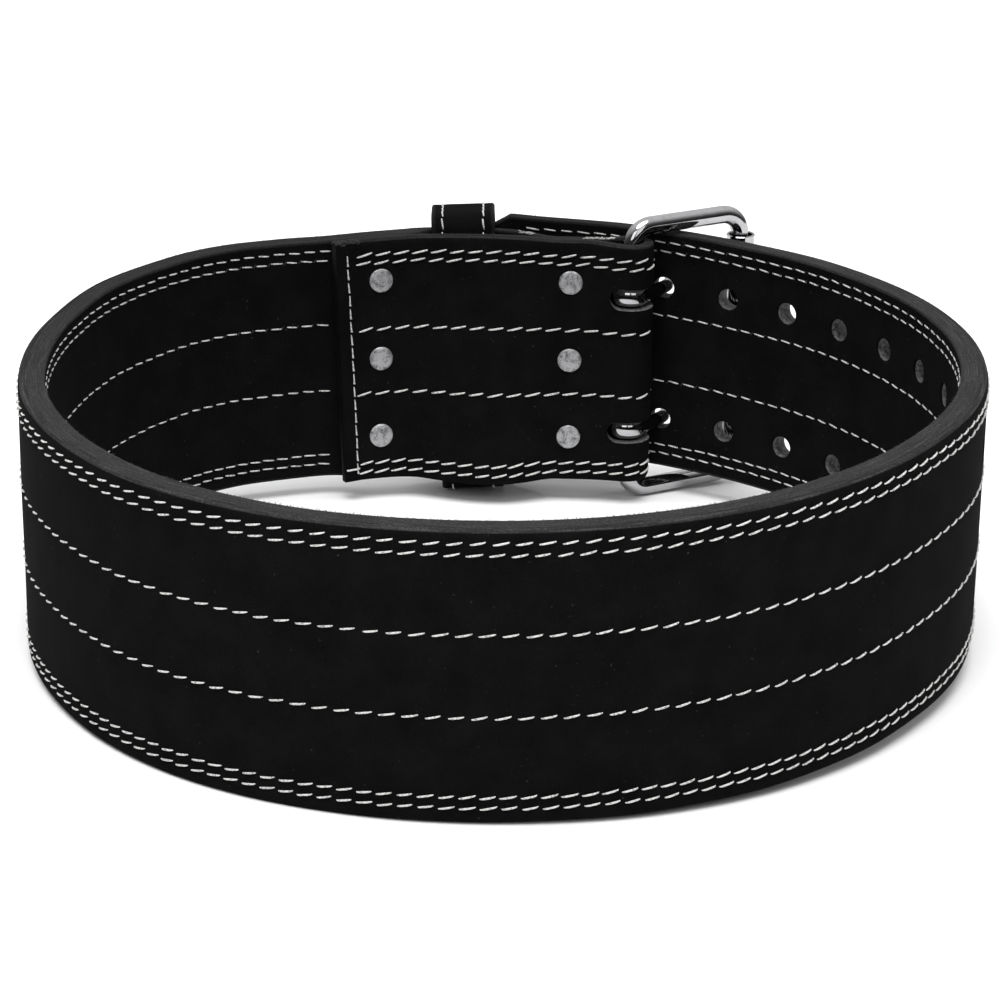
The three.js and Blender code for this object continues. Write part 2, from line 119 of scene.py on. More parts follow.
@dataclass(frozen=True)
class BuckleSizes:
    """The roller buckle's wire, frame, roller and prongs, in millimetres."""

    wire: float = 7.5
    inner_height: float = 106.0
    sag: float = 0.5
    corner_radius: float = 9.0
    swing: float = 29.5
    bar_to_roller: float = 52.7
    bar_across: float = 51.5
    bar_reach: float = 160.0
    fold_slack: float = 1.45
    roller: float = 11.8
    roller_wall: float = 1.0
    roller_seam: float = 0.7
    prong: float = 5.5
    prong_loop_thickness: float = 3.8
    prong_loop_height: float = 7.4
    prong_past_roller: float = 9.0
    slot_height: float = 9.0
    slot_clearance: float = 0.6
    gap: float = 0.3


@dataclass(frozen=True)
class RivetSizes:
    """The six rivets of the buckle end, in millimetres."""

    head: float = 9.8
    head_thickness: float = 1.1
    head_crown: float = 0.35
    shank: float = 4.0
    column_inner: float = 27.0
    column_outer: float = -50.5
    grip: float = 7.0
    edge_inset: float = 18.1
    row_lift: float = 0.8


@dataclass(frozen=True)
class KeeperSizes:
    """The keeper's band, in millimetres."""

    across: float = -14.8
    width: float = 26.0
    thickness: float = 2.8
    above: float = 7.4
    below: float = 7.0
    turn: float = 2.7
    corner: float = 3.2
    gap: float = 0.5


STRAP = StrapSizes()
HOLES = HoleSizes()
BUCKLE = BuckleSizes()
RIVETS = RivetSizes()
KEEPER = KeeperSizes()


# The belt's place in the row

# The lower_edge mount in the belt's upright frame
LOWER_EDGE = Vector((0, -163.2, 0))


def rest_placement() -> Matrix:
    """The matrix from the belt's upright frame, in millimetres, to the row frame, in metres.

    Returns:
        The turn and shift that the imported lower_edge mount gives, with the change of unit.
    """
    mount = next(m for m in frame["record"]["mounts"] if m["name"] == "lower_edge")
    turn = (-UP).rotation_difference(Vector(mount["axis"])).to_matrix().to_4x4()
    return Matrix.Translation(mount["pos_m"]) @ turn @ Matrix.Scale(MM, 4) @ Matrix.Translation(-LOWER_EDGE)


REST = rest_placement()


# Mesh helpers


def link_object(name: str, data: bpy.types.ID) -> bpy.types.Object:
    """Adds an object with its data to the scene."""
    item = bpy.data.objects.new(name, data)
    bpy.context.scene.collection.objects.link(item)
    return item


def to_mesh(name: str, bm: bmesh.types.BMesh) -> bpy.types.Mesh:
    """Turns a bmesh into a mesh and frees it."""
    mesh = bpy.data.meshes.new(name)
    bm.to_mesh(mesh)
    bm.free()
    return mesh


def finish_piece(
    name: str,
    bm: bmesh.types.BMesh,
    materials: Sequence[bpy.types.Material],
    replaced: Sequence[str] = (),
    sharp_angle: float = 40.0,
) -> bpy.types.Object:
    """Turns a bmesh in the upright frame into a placed piece of the belt.

    Args:
        name: The piece's name.
        bm: The mesh in millimetres, which is freed.
        materials: The materials of its material slots.
        replaced: The CAD nodes that it stands for.
        sharp_angle: Edges that turn by more degrees than this stay sharp.

    Returns:
        The finished object.
    """
    return finish_mesh(name, to_mesh(name, bm), materials, replaced, sharp_angle)


def finish_mesh(
    name: str,
    mesh: bpy.types.Mesh,
    materials: Sequence[bpy.types.Material],
    replaced: Sequence[str] = (),
    sharp_angle: float = 40.0,
) -> bpy.types.Object:
    """Places a mesh in the row, dresses it and ties it to the belt's body.

    Args:
        name: The piece's name.
        mesh: The mesh in the upright frame, in millimetres.
        materials: The materials of its material slots.
        replaced: The CAD nodes that it stands for.
        sharp_angle: Edges that turn by more degrees than this stay sharp.

    Returns:
        The finished object.
    """
    mesh.transform(REST)
    mesh.polygons.foreach_set("use_smooth", [True] * len(mesh.polygons))
    mesh.set_sharp_from_angle(angle=math.radians(sharp_angle))
    indices = [polygon.material_index for polygon in mesh.polygons]
    mesh.materials.clear()
    for material in materials:
        mesh.materials.append(material)
    mesh.polygons.foreach_set("material_index", indices)
    piece = link_object(name, mesh)
    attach(piece, "root")
    if replaced:
        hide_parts(*replaced)
    log.info("%s: %d faces", name, len(mesh.polygons))
    return piece


def finish_strands(
    name: str, strands: Iterable[Strand], sides: int, material: bpy.types.Material
) -> bpy.types.Object:
    """Turns strands of thread or fibre into a placed piece of the belt.

    Args:
        name: The piece's name.
        strands: The strands in the upright frame.
        sides: Extra sides of the round section past four, in pairs.
        material: The strands' material.

    Returns:
        The finished object.
    """
    return finish_mesh(name, thread_mesh(name, strands, sides), (material,), sharp_angle=80)


def wrap_grid(
    along: int,
    around: int,
    place: Callable[[int, int], Vector],
    uv_layers: dict[str, Callable[[int, int], tuple[float, float]]],
    close_along: bool = False,
) -> bmesh.types.BMesh:
    """Wraps a flat grid into a tube whose section may change along it.

    Args:
        along: The number of steps along the tube.
        around: The number of steps round its section.
        place: Gives the point of a step along and a step around.
        uv_layers: For each UV map's name, what gives its pair at the same two steps.
        close_along: Whether the last step meets the first; otherwise the ends are filled.

    Returns:
        A closed mesh with its UV maps.
    """
    bm = bmesh.new()
    bmesh.ops.create_grid(bm, x_segments=along, y_segments=around, size=1)
    steps = {
        vert: (round((vert.co.x + 1) / 2 * along), round((vert.co.y + 1) / 2 * around)) for vert in bm.verts
    }
    for name, pair in uv_layers.items():
        layer = bm.loops.layers.uv.new(name)
        for face in bm.faces:
            for loop in face.loops:
                loop[layer].uv = pair(*steps[loop.vert])
    for vert, (step, turn) in steps.items():
        vert.co = place(step % along if close_along else step, turn % around)
    bmesh.ops.remove_doubles(bm, verts=bm.verts, dist=SEAM_WELD)
    if not close_along:
        ends = bmesh.ops.holes_fill(bm, edges=[edge for edge in bm.edges if edge.is_boundary], sides=0)
        for name, pair in uv_layers.items():
            layer = bm.loops.layers.uv[name]
            for face in ends["faces"]:
                for loop in face.loops:
                    near = loop.link_loop_radial_next
                    loop[layer].uv = near[layer].uv if near.face not in ends["faces"] else (0, 0)
    bmesh.ops.recalc_face_normals(bm, faces=bm.faces)
    return bm


def sweep(places: Sequence[Matrix], sides: int, closed: bool = False) -> bmesh.types.BMesh:
    """Extrudes a circle through a row of places.

    Args:
        places: The matrices that put a unit circle at each step.
        sides: The circle's number of sides.
        closed: Whether the last step joins the first; otherwise the ends are filled.

    Returns:
        The swept mesh.
    """
    bm = bmesh.new()
    bmesh.ops.create_circle(bm, cap_ends=False, radius=1, segments=sides, matrix=places[0])
    first = list(bm.edges)
    ring = first
    for before, after in zip(places, places[1:]):
        made = bmesh.ops.extrude_edge_only(bm, edges=ring)["geom"]
        verts = {item for item in made if isinstance(item, bmesh.types.BMVert)}
        ring = [
            item for item in made
            if isinstance(item, bmesh.types.BMEdge) and all(vert in verts for vert in item.verts)
        ]
        bmesh.ops.transform(bm, matrix=after @ before.inverted(), verts=list(verts))
    if closed:
        bmesh.ops.bridge_loops(bm, edges=first + ring)
    else:
        bmesh.ops.contextual_create(bm, geom=first)
        bmesh.ops.contextual_create(bm, geom=ring)
    bmesh.ops.recalc_face_normals(bm, faces=bm.faces)
    return bm


def lathe(
    bm: bmesh.types.BMesh, profile: Sequence[tuple[float, float]], steps: int, gap: float = 0.0
) -> list[bmesh.types.BMVert]:
    """Spins a profile round the upright axis.

    Args:
        bm: The mesh that the turned shape is added to.
        profile: Points as a reach from the axis and a place along it. It starts and ends on the
            axis, or is closed where a gap is given.
        steps: The steps of the turn.
        gap: The angle that is left open, in radians.

    Returns:
        The new vertices.
    """
    earlier = set(bm.verts)
    verts = [bm.verts.new((reach, 0, along)) for reach, along in profile]
    edges = [bm.edges.new(pair) for pair in zip(verts, verts[1:] + (verts[:1] if gap else []))]
    bmesh.ops.spin(
        bm, geom=verts + edges, cent=(0, 0, 0), axis=(0, 0, 1), angle=2 * math.pi - gap, steps=steps,
        use_merge=not gap,
    )
    if not gap:
        made = [vert for vert in bm.verts if vert not in earlier]
        bmesh.ops.remove_doubles(bm, verts=made, dist=AXIS_WELD)
    return [vert for vert in bm.verts if vert not in earlier]


def circle_place(point: Vector, direction: Vector, side: Vector, wide: float, high: float) -> Matrix:
    """The matrix that puts a unit circle square to a direction.

    Args:
        point: The circle's centre.
        direction: The direction that it faces.
        side: The direction of its first half width.
        wide: Its half width along side.
        high: Its half width across side.

    Returns:
        The matrix.
    """
    facing = direction.normalized()
    first = side.normalized()
    second = facing.cross(first)
    columns = (first * wide, second * high, facing, point)
    matrix = Matrix([column.to_4d() for column in columns]).transposed()
    matrix[3] = (0, 0, 0, 1)
    return matrix


def thread_mesh(name: str, strands: Iterable[Strand], sides: int) -> bpy.types.Mesh:
    """Joins round strands of thread into one mesh.

    Args:
        name: The mesh's name.
        strands: The strands, each with a radius at every point.
        sides: Extra sides of the round section past four, in pairs.

    Returns:
        The mesh in the frame of the points.
    """
    curve = bpy.data.curves.new(name, "CURVE")
    curve.dimensions = "3D"
    curve.bevel_depth = 1.0
    curve.bevel_resolution = sides
    curve.use_fill_caps = True
    for strand in strands:
        spline = curve.splines.new("POLY")
        spline.points.add(len(strand) - 1)
        for point, (place, radius) in zip(spline.points, strand):
            point.co = (*place, 1)
            point.radius = radius
    holder = link_object(name, curve)
    evaluated = holder.evaluated_get(bpy.context.evaluated_depsgraph_get())
    mesh = bpy.data.meshes.new_from_object(evaluated)
    bpy.data.objects.remove(holder)
    bpy.data.curves.remove(curve)
    return mesh


def mix(first: float, second: float, share: float) -> float:
    """The value a share of the way from the first to the second."""
    return first + (second - first) * share


def smooth_step(low: float, high: float, value: float) -> float:
    """0 below low, 1 above high and an even ease between them."""
    share = min(1.0, max(0.0, (value - low) / (high - low)))
    return share * share * (3 - 2 * share)


def curve_terms(
    before: Vector, first: Vector, second: Vector, after: Vector
) -> tuple[Vector, Vector, Vector]:
    """The terms of a centripetal Catmull-Rom curve between two of its points.

    Args:
        before: The point before the first.
        first: The point where the span starts.
        second: The point where it ends.
        after: The point after the second.

    Returns:
        What goes with the share of the span, with its square and with its cube.
    """
    d0, d1, d2 = (
        max((b.xy - a.xy).length, 1e-3) ** 0.5 for a, b in ((before, first), (first, second), (second, after))
    )
    start = ((first - before) / d0 - (second - before) / (d0 + d1) + (second - first) / d1) * d1
    end = ((second - first) / d1 - (after - first) / (d1 + d2) + (after - second) / d2) * d1
    square = second * 3 - first * 3 - start * 2 - end
    cube = first * 2 - second * 2 + start + end
    return start, square, cube


# The strap's path


@dataclass(frozen=True)
class Section:
    """The strap at one place of its path."""

    point: Vector
    tangent: Vector
    thickness: float
    lift: float
    lean: float
    cut: float
    slant: float

    @property
    def outward(self) -> Vector:
        """The direction out of the face."""
        return Vector((self.tangent.y, -self.tangent.x, 0))

    def place(self, depth: float, height: float) -> Vector:
        """The point at a depth below the face and a height up the strap.

        Args:
            depth: Millimetres below the face.
            height: Millimetres above the strap's lower edge.

        Returns:
            The point in the upright frame.
        """
        share = height / STRAP.width - 0.5
        return Vector((
            self.point.x - depth * self.outward.x - self.slant * share,
            self.point.y - depth * self.outward.y + self.lean * share,
            height + self.lift,
        ))


class StrapPath:
    """The route of the strap's face, from the panel's end round the waist to the tongue's tip."""

    # The waist loop's face: turn in degrees from +X, reach as a share of the loop's radius, and
    # skive, 0 at the full thickness and 1 at the end's own thickness
    LOOP = (
        (114.4, 1.034, 0), (120, 1.053, 0), (128, 1.076, 0), (136, 1.078, 0), (150, 1.054, 0),
        (165, 1.018, 0), (180, 0.999, 0), (195, 0.996, 0), (210, 0.995, 0), (225, 0.998, 0),
        (240, 0.991, 0), (255, 0.977, 0), (270, 0.965, 0), (285, 0.958, 0), (300, 0.953, 0),
        (315, 0.952, 0), (330, 0.957, 0), (345, 0.977, 0), (360, 1.0, 0), (375, 1.026, 0.05),
        (390, 1.05, 0.1), (405, 1.07, 0.2), (417, 1.081, 0.35), (426.5, 1.083, 0.55),
    )
    # The turn from which the loop rises towards the tongue, and the share of its lift there
    RISE_FROM = 420
    FIRST_RISE = 0.16
    FOLD_STEPS = 6
    SAMPLES = 24
    HALVINGS = 40

    def __init__(self) -> None:
        """Lays the stations and measures the path through them."""
        self.fold_radius = BUCKLE.wire / 2 + BUCKLE.fold_slack + STRAP.folded_thickness
        panel = self._buckle_end(panel=True)
        layer = self._buckle_end(panel=False)[::-1]
        self.stations = panel + self._fold() + layer + self._loop() + self._tongue(layer)
        self.fold_start = len(panel)
        self.loop_start = len(panel) + self.FOLD_STEPS + 1 + len(layer)
        self.lengths = [0.0]
        steps = (len(self.stations) - 1) * self.SAMPLES
        before = self.at_station(0).point
        for step in range(1, steps + 1):
            point = self.at_station(step / self.SAMPLES).point
            self.lengths.append(self.lengths[-1] + (point - before).length)
            before = point

    @property
    def length(self) -> float:
        """The path's whole length in millimetres."""
        return self.lengths[-1]

    @staticmethod
    def _buckle_end(panel: bool) -> list[tuple[float, ...]]:
        """Stations of one of the two riveted layers, from the cut end to the bar.

        Args:
            panel: Whether the layer is the folded-over panel or the strap under it.

        Returns:
            Rows of x, y, thickness, lift, lean, cut and slant.
        """
        grip, inner, outer = RIVETS.grip, RIVETS.column_inner, RIVETS.column_outer
        across, wide = KEEPER.across, KEEPER.width
        after = inner + grip
        # x, the panel's bow, how far each layer's top leans out, the room between the layers
        # and the strap's thinning, all as shares
        rows = (
            (STRAP.panel_end, -0.25, 0.28, 0.17, 0.24, 0),
            (outer - grip, 0.34, 0.4, 0.4, 0.01, 0),
            (outer, 0.63, 0.42, 0.42, 0, 0),
            (outer + grip, 0.87, 0.45, 0.45, 0.01, 0),
            (across - 0.82 * wide, 1, 0.55, 0.36, 0.34, 0.4),
            (across - 0.5 * wide, 0.85, 0.75, 0.22, 0.8, 1),
            (across + 0.1 * wide, 0.58, 1, 0.11, 1, 1),
            (across + 0.6 * wide, 0.5, 1, 0.11, 0.94, 1),
            (across + 0.9 * wide, 0.58, 0.8, 0.25, 0.6, 1),
            (inner - grip, 0.67, 0.34, 0.34, 0, 1),
            (inner, 0.64, 0.32, 0.32, 0, 1),
            (after, 0.6, 0.29, 0.29, 0.02, 1),
            ((after + BUCKLE.bar_across) / 2, 0.27, 0.08, 0.08, 0.36, 1),
        )
        face_line = BUCKLE.bar_reach - (BUCKLE.wire / 2 + BUCKLE.fold_slack + STRAP.folded_thickness)
        stations = []
        for index, (x, bow, lean, strap_lean, pocket, skive) in enumerate(rows):
            y = face_line + bow * STRAP.panel_bow
            if panel:
                slant = STRAP.panel_end_slant if index == 0 else 0
                stations.append((x, y, STRAP.folded_thickness, 0, lean * STRAP.panel_lean, 0, slant))
                continue
            ply = mix(STRAP.thickness, STRAP.folded_thickness, skive)
            y += STRAP.folded_thickness + STRAP.layer_gap + pocket * STRAP.keeper_pocket + ply
            stations.append((x, y, ply, 0, strap_lean * STRAP.panel_lean, 0, 0))
        return stations

    def _fold(self) -> list[tuple[float, ...]]:
        """Stations of the half turn round the buckle's bar."""
        angles = [math.pi * (step / self.FOLD_STEPS - 0.5) for step in range(self.FOLD_STEPS + 1)]
        return [
            (
                BUCKLE.bar_across + self.fold_radius * math.cos(angle),
                BUCKLE.bar_reach + self.fold_radius * math.sin(angle),
                STRAP.folded_thickness, 0, 0, 0, 0,
            )
            for angle in angles
        ]

    def _loop(self) -> list[tuple[float, ...]]:
        """Stations of the waist loop."""
        stations = []
        for turn, reach, skive in self.LOOP:
            angle, radius = math.radians(turn), reach * STRAP.loop_radius
            thickness = mix(STRAP.thickness, STRAP.tongue_thickness, skive)
            lift = self.FIRST_RISE * STRAP.tongue_lift if turn > self.RISE_FROM else 0
            stations.append((radius * math.cos(angle), radius * math.sin(angle), thickness, lift, 0, 0, 0))
        return stations

    @staticmethod
    def _tongue(layer: Sequence[tuple[float, ...]]) -> list[tuple[float, ...]]:
        """Stations of the free end outside the buckle end.

        Args:
            layer: The stations of the layer that it lies on.

        Returns:
            Its stations.
        """
        strap_face = max(station[1] for station in layer)
        tip, cut = STRAP.tongue_end, STRAP.tip_cut_length
        # x, distance outside the buckle end, lift, thinning and corner cut, as shares
        rows = (
            (BUCKLE.bar_across, -0.83, 0.31, 0.8, 0),
            (0.8 * BUCKLE.bar_across, -0.4, 0.42, 0.95, 0),
            (tip + 1.5 * cut, 0.2, 0.69, 1, 0),
            (tip + cut, 0.67, 0.83, 1, 0),
            (tip + 0.5 * cut, 1.1, 0.92, 1, 0.5),
            (tip, 1.4, 1, 1, 1),
        )
        return [
            (
                x, strap_face + STRAP.tongue_thickness + out * STRAP.tongue_stand_off,
                mix(STRAP.thickness, STRAP.tongue_thickness, skive),
                lift * STRAP.tongue_lift, 0, corner * STRAP.tip_cut_height, 0,
            )
            for x, out, lift, skive, corner in rows
        ]

    def at_station(self, place: float) -> Section:
        """The section at a station number, by a centripetal Catmull-Rom curve.

        Args:
            place: The station's number, with a fraction between two stations.

        Returns:
            The section there.
        """
        count = len(self.stations)
        number = min(max(int(place), 0), count - 2)
        share = place - number
        first, second = Vector(self.stations[number]), Vector(self.stations[number + 1])
        before = Vector(self.stations[number - 1]) if number else first * 2 - second
        after = Vector(self.stations[number + 2]) if number + 2 < count else second * 2 - first
        start, square, cube = curve_terms(before, first, second, after)
        value = first + start * share + square * share**2 + cube * share**3
        slope = start + square * (2 * share) + cube * (3 * share**2)
        straight = first + (second - first) * share
        return Section(
            point=Vector((value[0], value[1], 0)),
            tangent=Vector((slope[0], slope[1], 0)).normalized(),
            thickness=value[2],
            lift=value[3],
            lean=value[4],
            cut=straight[5],
            slant=straight[6],
        )

    def station_at(self, length: float) -> float:
        """The station number at a length along the path.

        Args:
            length: Millimetres from the panel's end.

        Returns:
            The station's number, with its fraction.
        """
        low, high = 0, len(self.lengths) - 1
        while high - low > 1:
            middle = (low + high) // 2
            if self.lengths[middle] <= length:
                low = middle
            else:
                high = middle
        share = (length - self.lengths[low]) / (self.lengths[high] - self.lengths[low])
        return (low + min(max(share, 0), 1)) / self.SAMPLES

    def at(self, length: float) -> Section:
        """The section at a length along the path, in millimetres from the panel's end."""
        return self.at_station(self.station_at(length))

    def length_of(self, station: float) -> float:
        """The length along the path of a station's number."""
        place = station * self.SAMPLES
        low = min(int(place), len(self.lengths) - 2)
        return mix(self.lengths[low], self.lengths[low + 1], place - low)

    def across(self, x: float, first: int, last: int) -> float:
        """The station number between two stations whose x is the given one.

        Args:
            x: The x to find.
            first: The first station's number.
            last: The last station's number.

        Returns:
            The station's number, with its fraction.
        """
        low, high = float(first), float(last)
        rising = self.stations[last][0] > self.stations[first][0]
        for _ in range(self.HALVINGS):
            middle = (low + high) / 2
            if (self.at_station(middle).point.x < x) == rising:
                low = middle
            else:
                high = middle
        return low


PATH = StrapPath()


def hole_section(pair: int) -> Section:
    """The strap's section at a pair of punched holes, counted from the tongue's tip."""
    return PATH.at(PATH.length - HOLES.tip_to_first - pair * HOLES.pitch)


HOLE_ROWS = tuple((STRAP.width + side * HOLES.row_spacing) / 2 - HOLES.row_drop for side in (1, -1))


# Materials


def linear(code: str) -> tuple[float, float, float, float]:
    """The linear colour of an sRGB hex code such as "1a1a1c".

    Args:
        code: Six hex digits.

    Returns:
        Red, green, blue and an alpha of 1.
    """
    values = [int(code[index:index + 2], 16) / 255 for index in (0, 2, 4)]
    red, green, blue = (v / 12.92 if v <= 0.04045 else ((v + 0.055) / 1.055) ** 2.4 for v in values)
    return red, green, blue, 1.0


def per_mm(size: float) -> float:
    """The scale that gives a pattern a size in millimetres on coordinates in metres."""
    return 1 / (size * MM)


def feed(
    tree: bpy.types.NodeTree,
    node: bpy.types.Node,
    values: dict[str | int, object] | None = None,
    links: dict[str | int, bpy.types.NodeSocket] | None = None,
) -> None:
    """Sets a node's inputs.

    Args:
        tree: The node tree.
        node: The node.
        values: Input values by socket.
        links: Output sockets that feed its inputs, by socket.
    """
    for socket, value in (values or {}).items():
        node.inputs[socket].default_value = value
    for socket, source in (links or {}).items():
        tree.links.new(source, node.inputs[socket])


def add_node(
    tree: bpy.types.NodeTree,
    kind: str,
    values: dict[str | int, object] | None = None,
    links: dict[str | int, bpy.types.NodeSocket] | None = None,
    **settings: object,
) -> bpy.types.Node:
    """Adds a node with its settings and links.

    Args:
        tree: The node tree.
        kind: The node's type.
        values: Input values by socket.
        links: Output sockets that feed its inputs, by socket.
        settings: The node's own properties.

    Returns:
        The node.
    """
    node = tree.nodes.new(kind)
    for name, value in settings.items():
        setattr(node, name, value)
    feed(tree, node, values, links)
    return node


def colour_ramp(
    tree: bpy.types.NodeTree, factor: bpy.types.NodeSocket, *stops: tuple[float, tuple[float, ...]]
) -> bpy.types.NodeSocket:
    """Turns a factor into a colour.

    Args:
        tree: The node tree.
        factor: The factor.
        stops: Positions with their linear colours.

    Returns:
        The colour.
    """
    node = add_node(tree, "ShaderNodeValToRGB", links={"Fac": factor})
    elements = node.color_ramp.elements
    while len(elements) < len(stops):
        elements.new(0.5)
    for element, (position, colour) in zip(elements, stops):
        element.position = position
        element.color = colour
    return node.outputs["Color"]


class Surface:
    """A material in the making, with the patterns that its finish is mixed from."""

    def __init__(self, name: str) -> None:
        """Starts the material on its Principled shader."""
        self.material = bpy.data.materials.new(name)
        self.material.use_nodes = True
        self.tree = self.material.node_tree

    @cached_property
    def coords(self) -> bpy.types.NodeSocket:
        """The object's own coordinates, in metres."""
        return add_node(self.tree, "ShaderNodeTexCoord").outputs["Object"]

    def pattern(
        self, scale: float, detail: float, roughness: float = 0.5, coords: bpy.types.NodeSocket | None = None
    ) -> bpy.types.NodeSocket:
        """A noise pattern.

        Args:
            scale: Its scale on its coordinates.
            detail: How many finer octaves it has.
            roughness: How strong they are.
            coords: Its coordinates, where they aren't the object's own.

        Returns:
            The pattern, from 0 to 1.
        """
        return add_node(
            self.tree, "ShaderNodeTexNoise", {"Scale": scale, "Detail": detail, "Roughness": roughness},
            {"Vector": coords or self.coords},
        ).outputs["Fac"]

    def blend(
        self, first: bpy.types.NodeSocket, second: bpy.types.NodeSocket, share: float
    ) -> bpy.types.NodeSocket:
        """Adds up two patterns, the first by a share and the second by the rest of it."""
        part = add_node(self.tree, "ShaderNodeMath", {1: share}, {0: first}, operation="MULTIPLY")
        return add_node(
            self.tree, "ShaderNodeMath", {1: 1 - share}, {0: second, 2: part.outputs[0]},
            operation="MULTIPLY_ADD",
        ).outputs[0]

    def remap(
        self, value: bpy.types.NodeSocket, limits: dict[str, float], ease: str = "LINEAR"
    ) -> bpy.types.NodeSocket:
        """Moves a value from one range to another, each from 0 to 1 where the limits don't say."""
        return add_node(
            self.tree, "ShaderNodeMapRange", limits, {"Value": value}, interpolation_type=ease
        ).outputs["Result"]

    def mix(
        self, values: dict[str, object], links: dict[str, bpy.types.NodeSocket], data_type: str = "RGBA"
    ) -> bpy.types.NodeSocket:
        """Mixes A and B by Factor, each given as a value or as a link."""
        return add_node(self.tree, "ShaderNodeMix", values, links, data_type=data_type).outputs["Result"]

    def bump(self, height: bpy.types.NodeSocket, strength: float, depth: float) -> bpy.types.NodeSocket:
        """Relief from a height, with its depth in millimetres."""
        return add_node(
            self.tree, "ShaderNodeBump", {"Strength": strength, "Distance": depth * MM}, {"Height": height}
        ).outputs["Normal"]

    def finish(
        self, values: dict[str, object], links: dict[str, bpy.types.NodeSocket] | None = None
    ) -> bpy.types.Material:
        """Sets the shader's inputs and gives the material."""
        feed(self.tree, self.tree.nodes["Principled BSDF"], values, links)
        return self.material


@dataclass(frozen=True)
class NappedSuede:
    """Split cow leather, dyed through and brushed: a soft black nap that swallows light.

    The cut edges are dyed charcoal and burnished, so they read as a smooth grey band with fine
    lines where the plies are glued. The band ends at the eased rim, on a slightly ragged line.
    """

    name: str = "napped_suede"
    nap: str = "0a0a0a"
    worn_nap: str = "121212"
    edge: str = "2b2b2c"
    edge_dark: str = "1f1f20"
    edge_fibre: str = "4b4b4b"
    edge_black: str = "0c0c0c"
    lint: str = "2c2c2c"
    nap_mm: float = 0.55
    mottle_mm: float = 14.0
    lint_mm: float = 1.1
    grit_mm: float = 0.8
    ply_mm: float = 0.45
    run_mm: float = 22.0
    ragged: float = 0.35
    nap_roughness: float = 0.95
    edge_roughness: float = 0.62

    def _face(self, surface: Surface, nap: bpy.types.NodeSocket) -> bpy.types.NodeSocket:
        """The nap's colour, mottled and with a little lint."""
        tone = surface.blend(nap, surface.pattern(per_mm(self.mottle_mm), 3.0), 0.55)
        face = colour_ramp(surface.tree, tone, (0.38, linear(self.nap)), (0.64, linear(self.worn_nap)))
        specks = surface.pattern(per_mm(self.lint_mm), 0.0)
        speck = surface.remap(specks, {"From Min": 0.83, "From Max": 0.88})
        return surface.mix({"B": linear(self.lint)}, {"Factor": speck, "A": face})

    def _plies(self, surface: Surface) -> bpy.types.NodeSocket:
        """Fine lines that run along the cut edge."""
        run = add_node(surface.tree, "ShaderNodeUVMap", uv_map="run").outputs[0]
        scale = (per_mm(self.run_mm), per_mm(self.ply_mm), 1)
        stretched = add_node(surface.tree, "ShaderNodeVectorMath", {1: scale}, {0: run}, operation="MULTIPLY")
        return surface.pattern(1.0, 3.0, 0.6, stretched.outputs[0])

    def _cover(
        self, surface: Surface, grit: bpy.types.NodeSocket, dyed: bpy.types.NodeSocket
    ) -> bpy.types.NodeSocket:
        """How far the edge's dye covers the nap, with a ragged border."""
        ragged = add_node(
            surface.tree, "ShaderNodeMath", {1: self.ragged, 2: -self.ragged / 2}, {0: grit},
            operation="MULTIPLY_ADD",
        )
        sides = {0: ragged.outputs[0], 1: dyed}
        reach = add_node(surface.tree, "ShaderNodeMath", links=sides, operation="ADD")
        return surface.remap(reach.outputs[0], {"From Min": 0.15, "From Max": 0.85}, "SMOOTHSTEP")

    def build(self) -> bpy.types.Material:
        """Builds the suede with its dyed edges.

        Returns:
            The material, which reads the strap's run and dye UV maps.
        """
        surface = Surface(self.name)
        nap = surface.pattern(per_mm(self.nap_mm), 2.0, 0.7)
        grit = surface.pattern(per_mm(self.grit_mm), 3.0, 0.75)
        band = surface.blend(self._plies(surface), grit, 0.5)
        dye_map = add_node(surface.tree, "ShaderNodeUVMap", uv_map="dye").outputs[0]
        dye = add_node(surface.tree, "ShaderNodeSeparateXYZ", links={0: dye_map}).outputs
        edge = colour_ramp(
            surface.tree, band,
            (0.36, linear(self.edge_dark)), (0.50, linear(self.edge)), (0.66, linear(self.edge_fibre)),
        )
        # Where the tone along the path is low, the edge band darkens towards edge_black
        edge = surface.mix({"A": linear(self.edge_black)}, {"Factor": dye["Y"], "B": edge})
        cover = self._cover(surface, grit, dye["X"])
        relief = surface.mix({}, {"Factor": cover, "A": nap, "B": band}, "FLOAT")
        gloss = {"To Min": self.nap_roughness, "To Max": self.edge_roughness}
        return surface.finish(
            {"Specular IOR Level": 0.025, "Sheen Weight": 0.002, "Sheen Roughness": 0.5},
            {
                "Base Color": surface.mix({}, {"Factor": cover, "A": self._face(surface, nap), "B": edge}),
                "Roughness": surface.remap(cover, gloss),
                "Normal": surface.bump(relief, 0.6, 0.25),
            },
        )


@dataclass(frozen=True)
class RawLeather:
    """The undyed wall of a punched hole: pale grey fibres that the punch pulled along the cut."""

    fibre: str = "757473"
    shade: str = "242424"
    strand_mm: float = 1.5

    def build(self) -> bpy.types.Material:
        """Builds the cut leather.

        Returns:
            The material.
        """
        surface = Surface("raw_leather")
        strands = surface.pattern(per_mm(self.strand_mm), 4.0, 0.7)
        colour = colour_ramp(surface.tree, strands, (0.35, linear(self.shade)), (0.65, linear(self.fibre)))
        return surface.finish(
            {"Roughness": 0.85}, {"Base Color": colour, "Normal": surface.bump(strands, 0.7, 0.3)}
        )


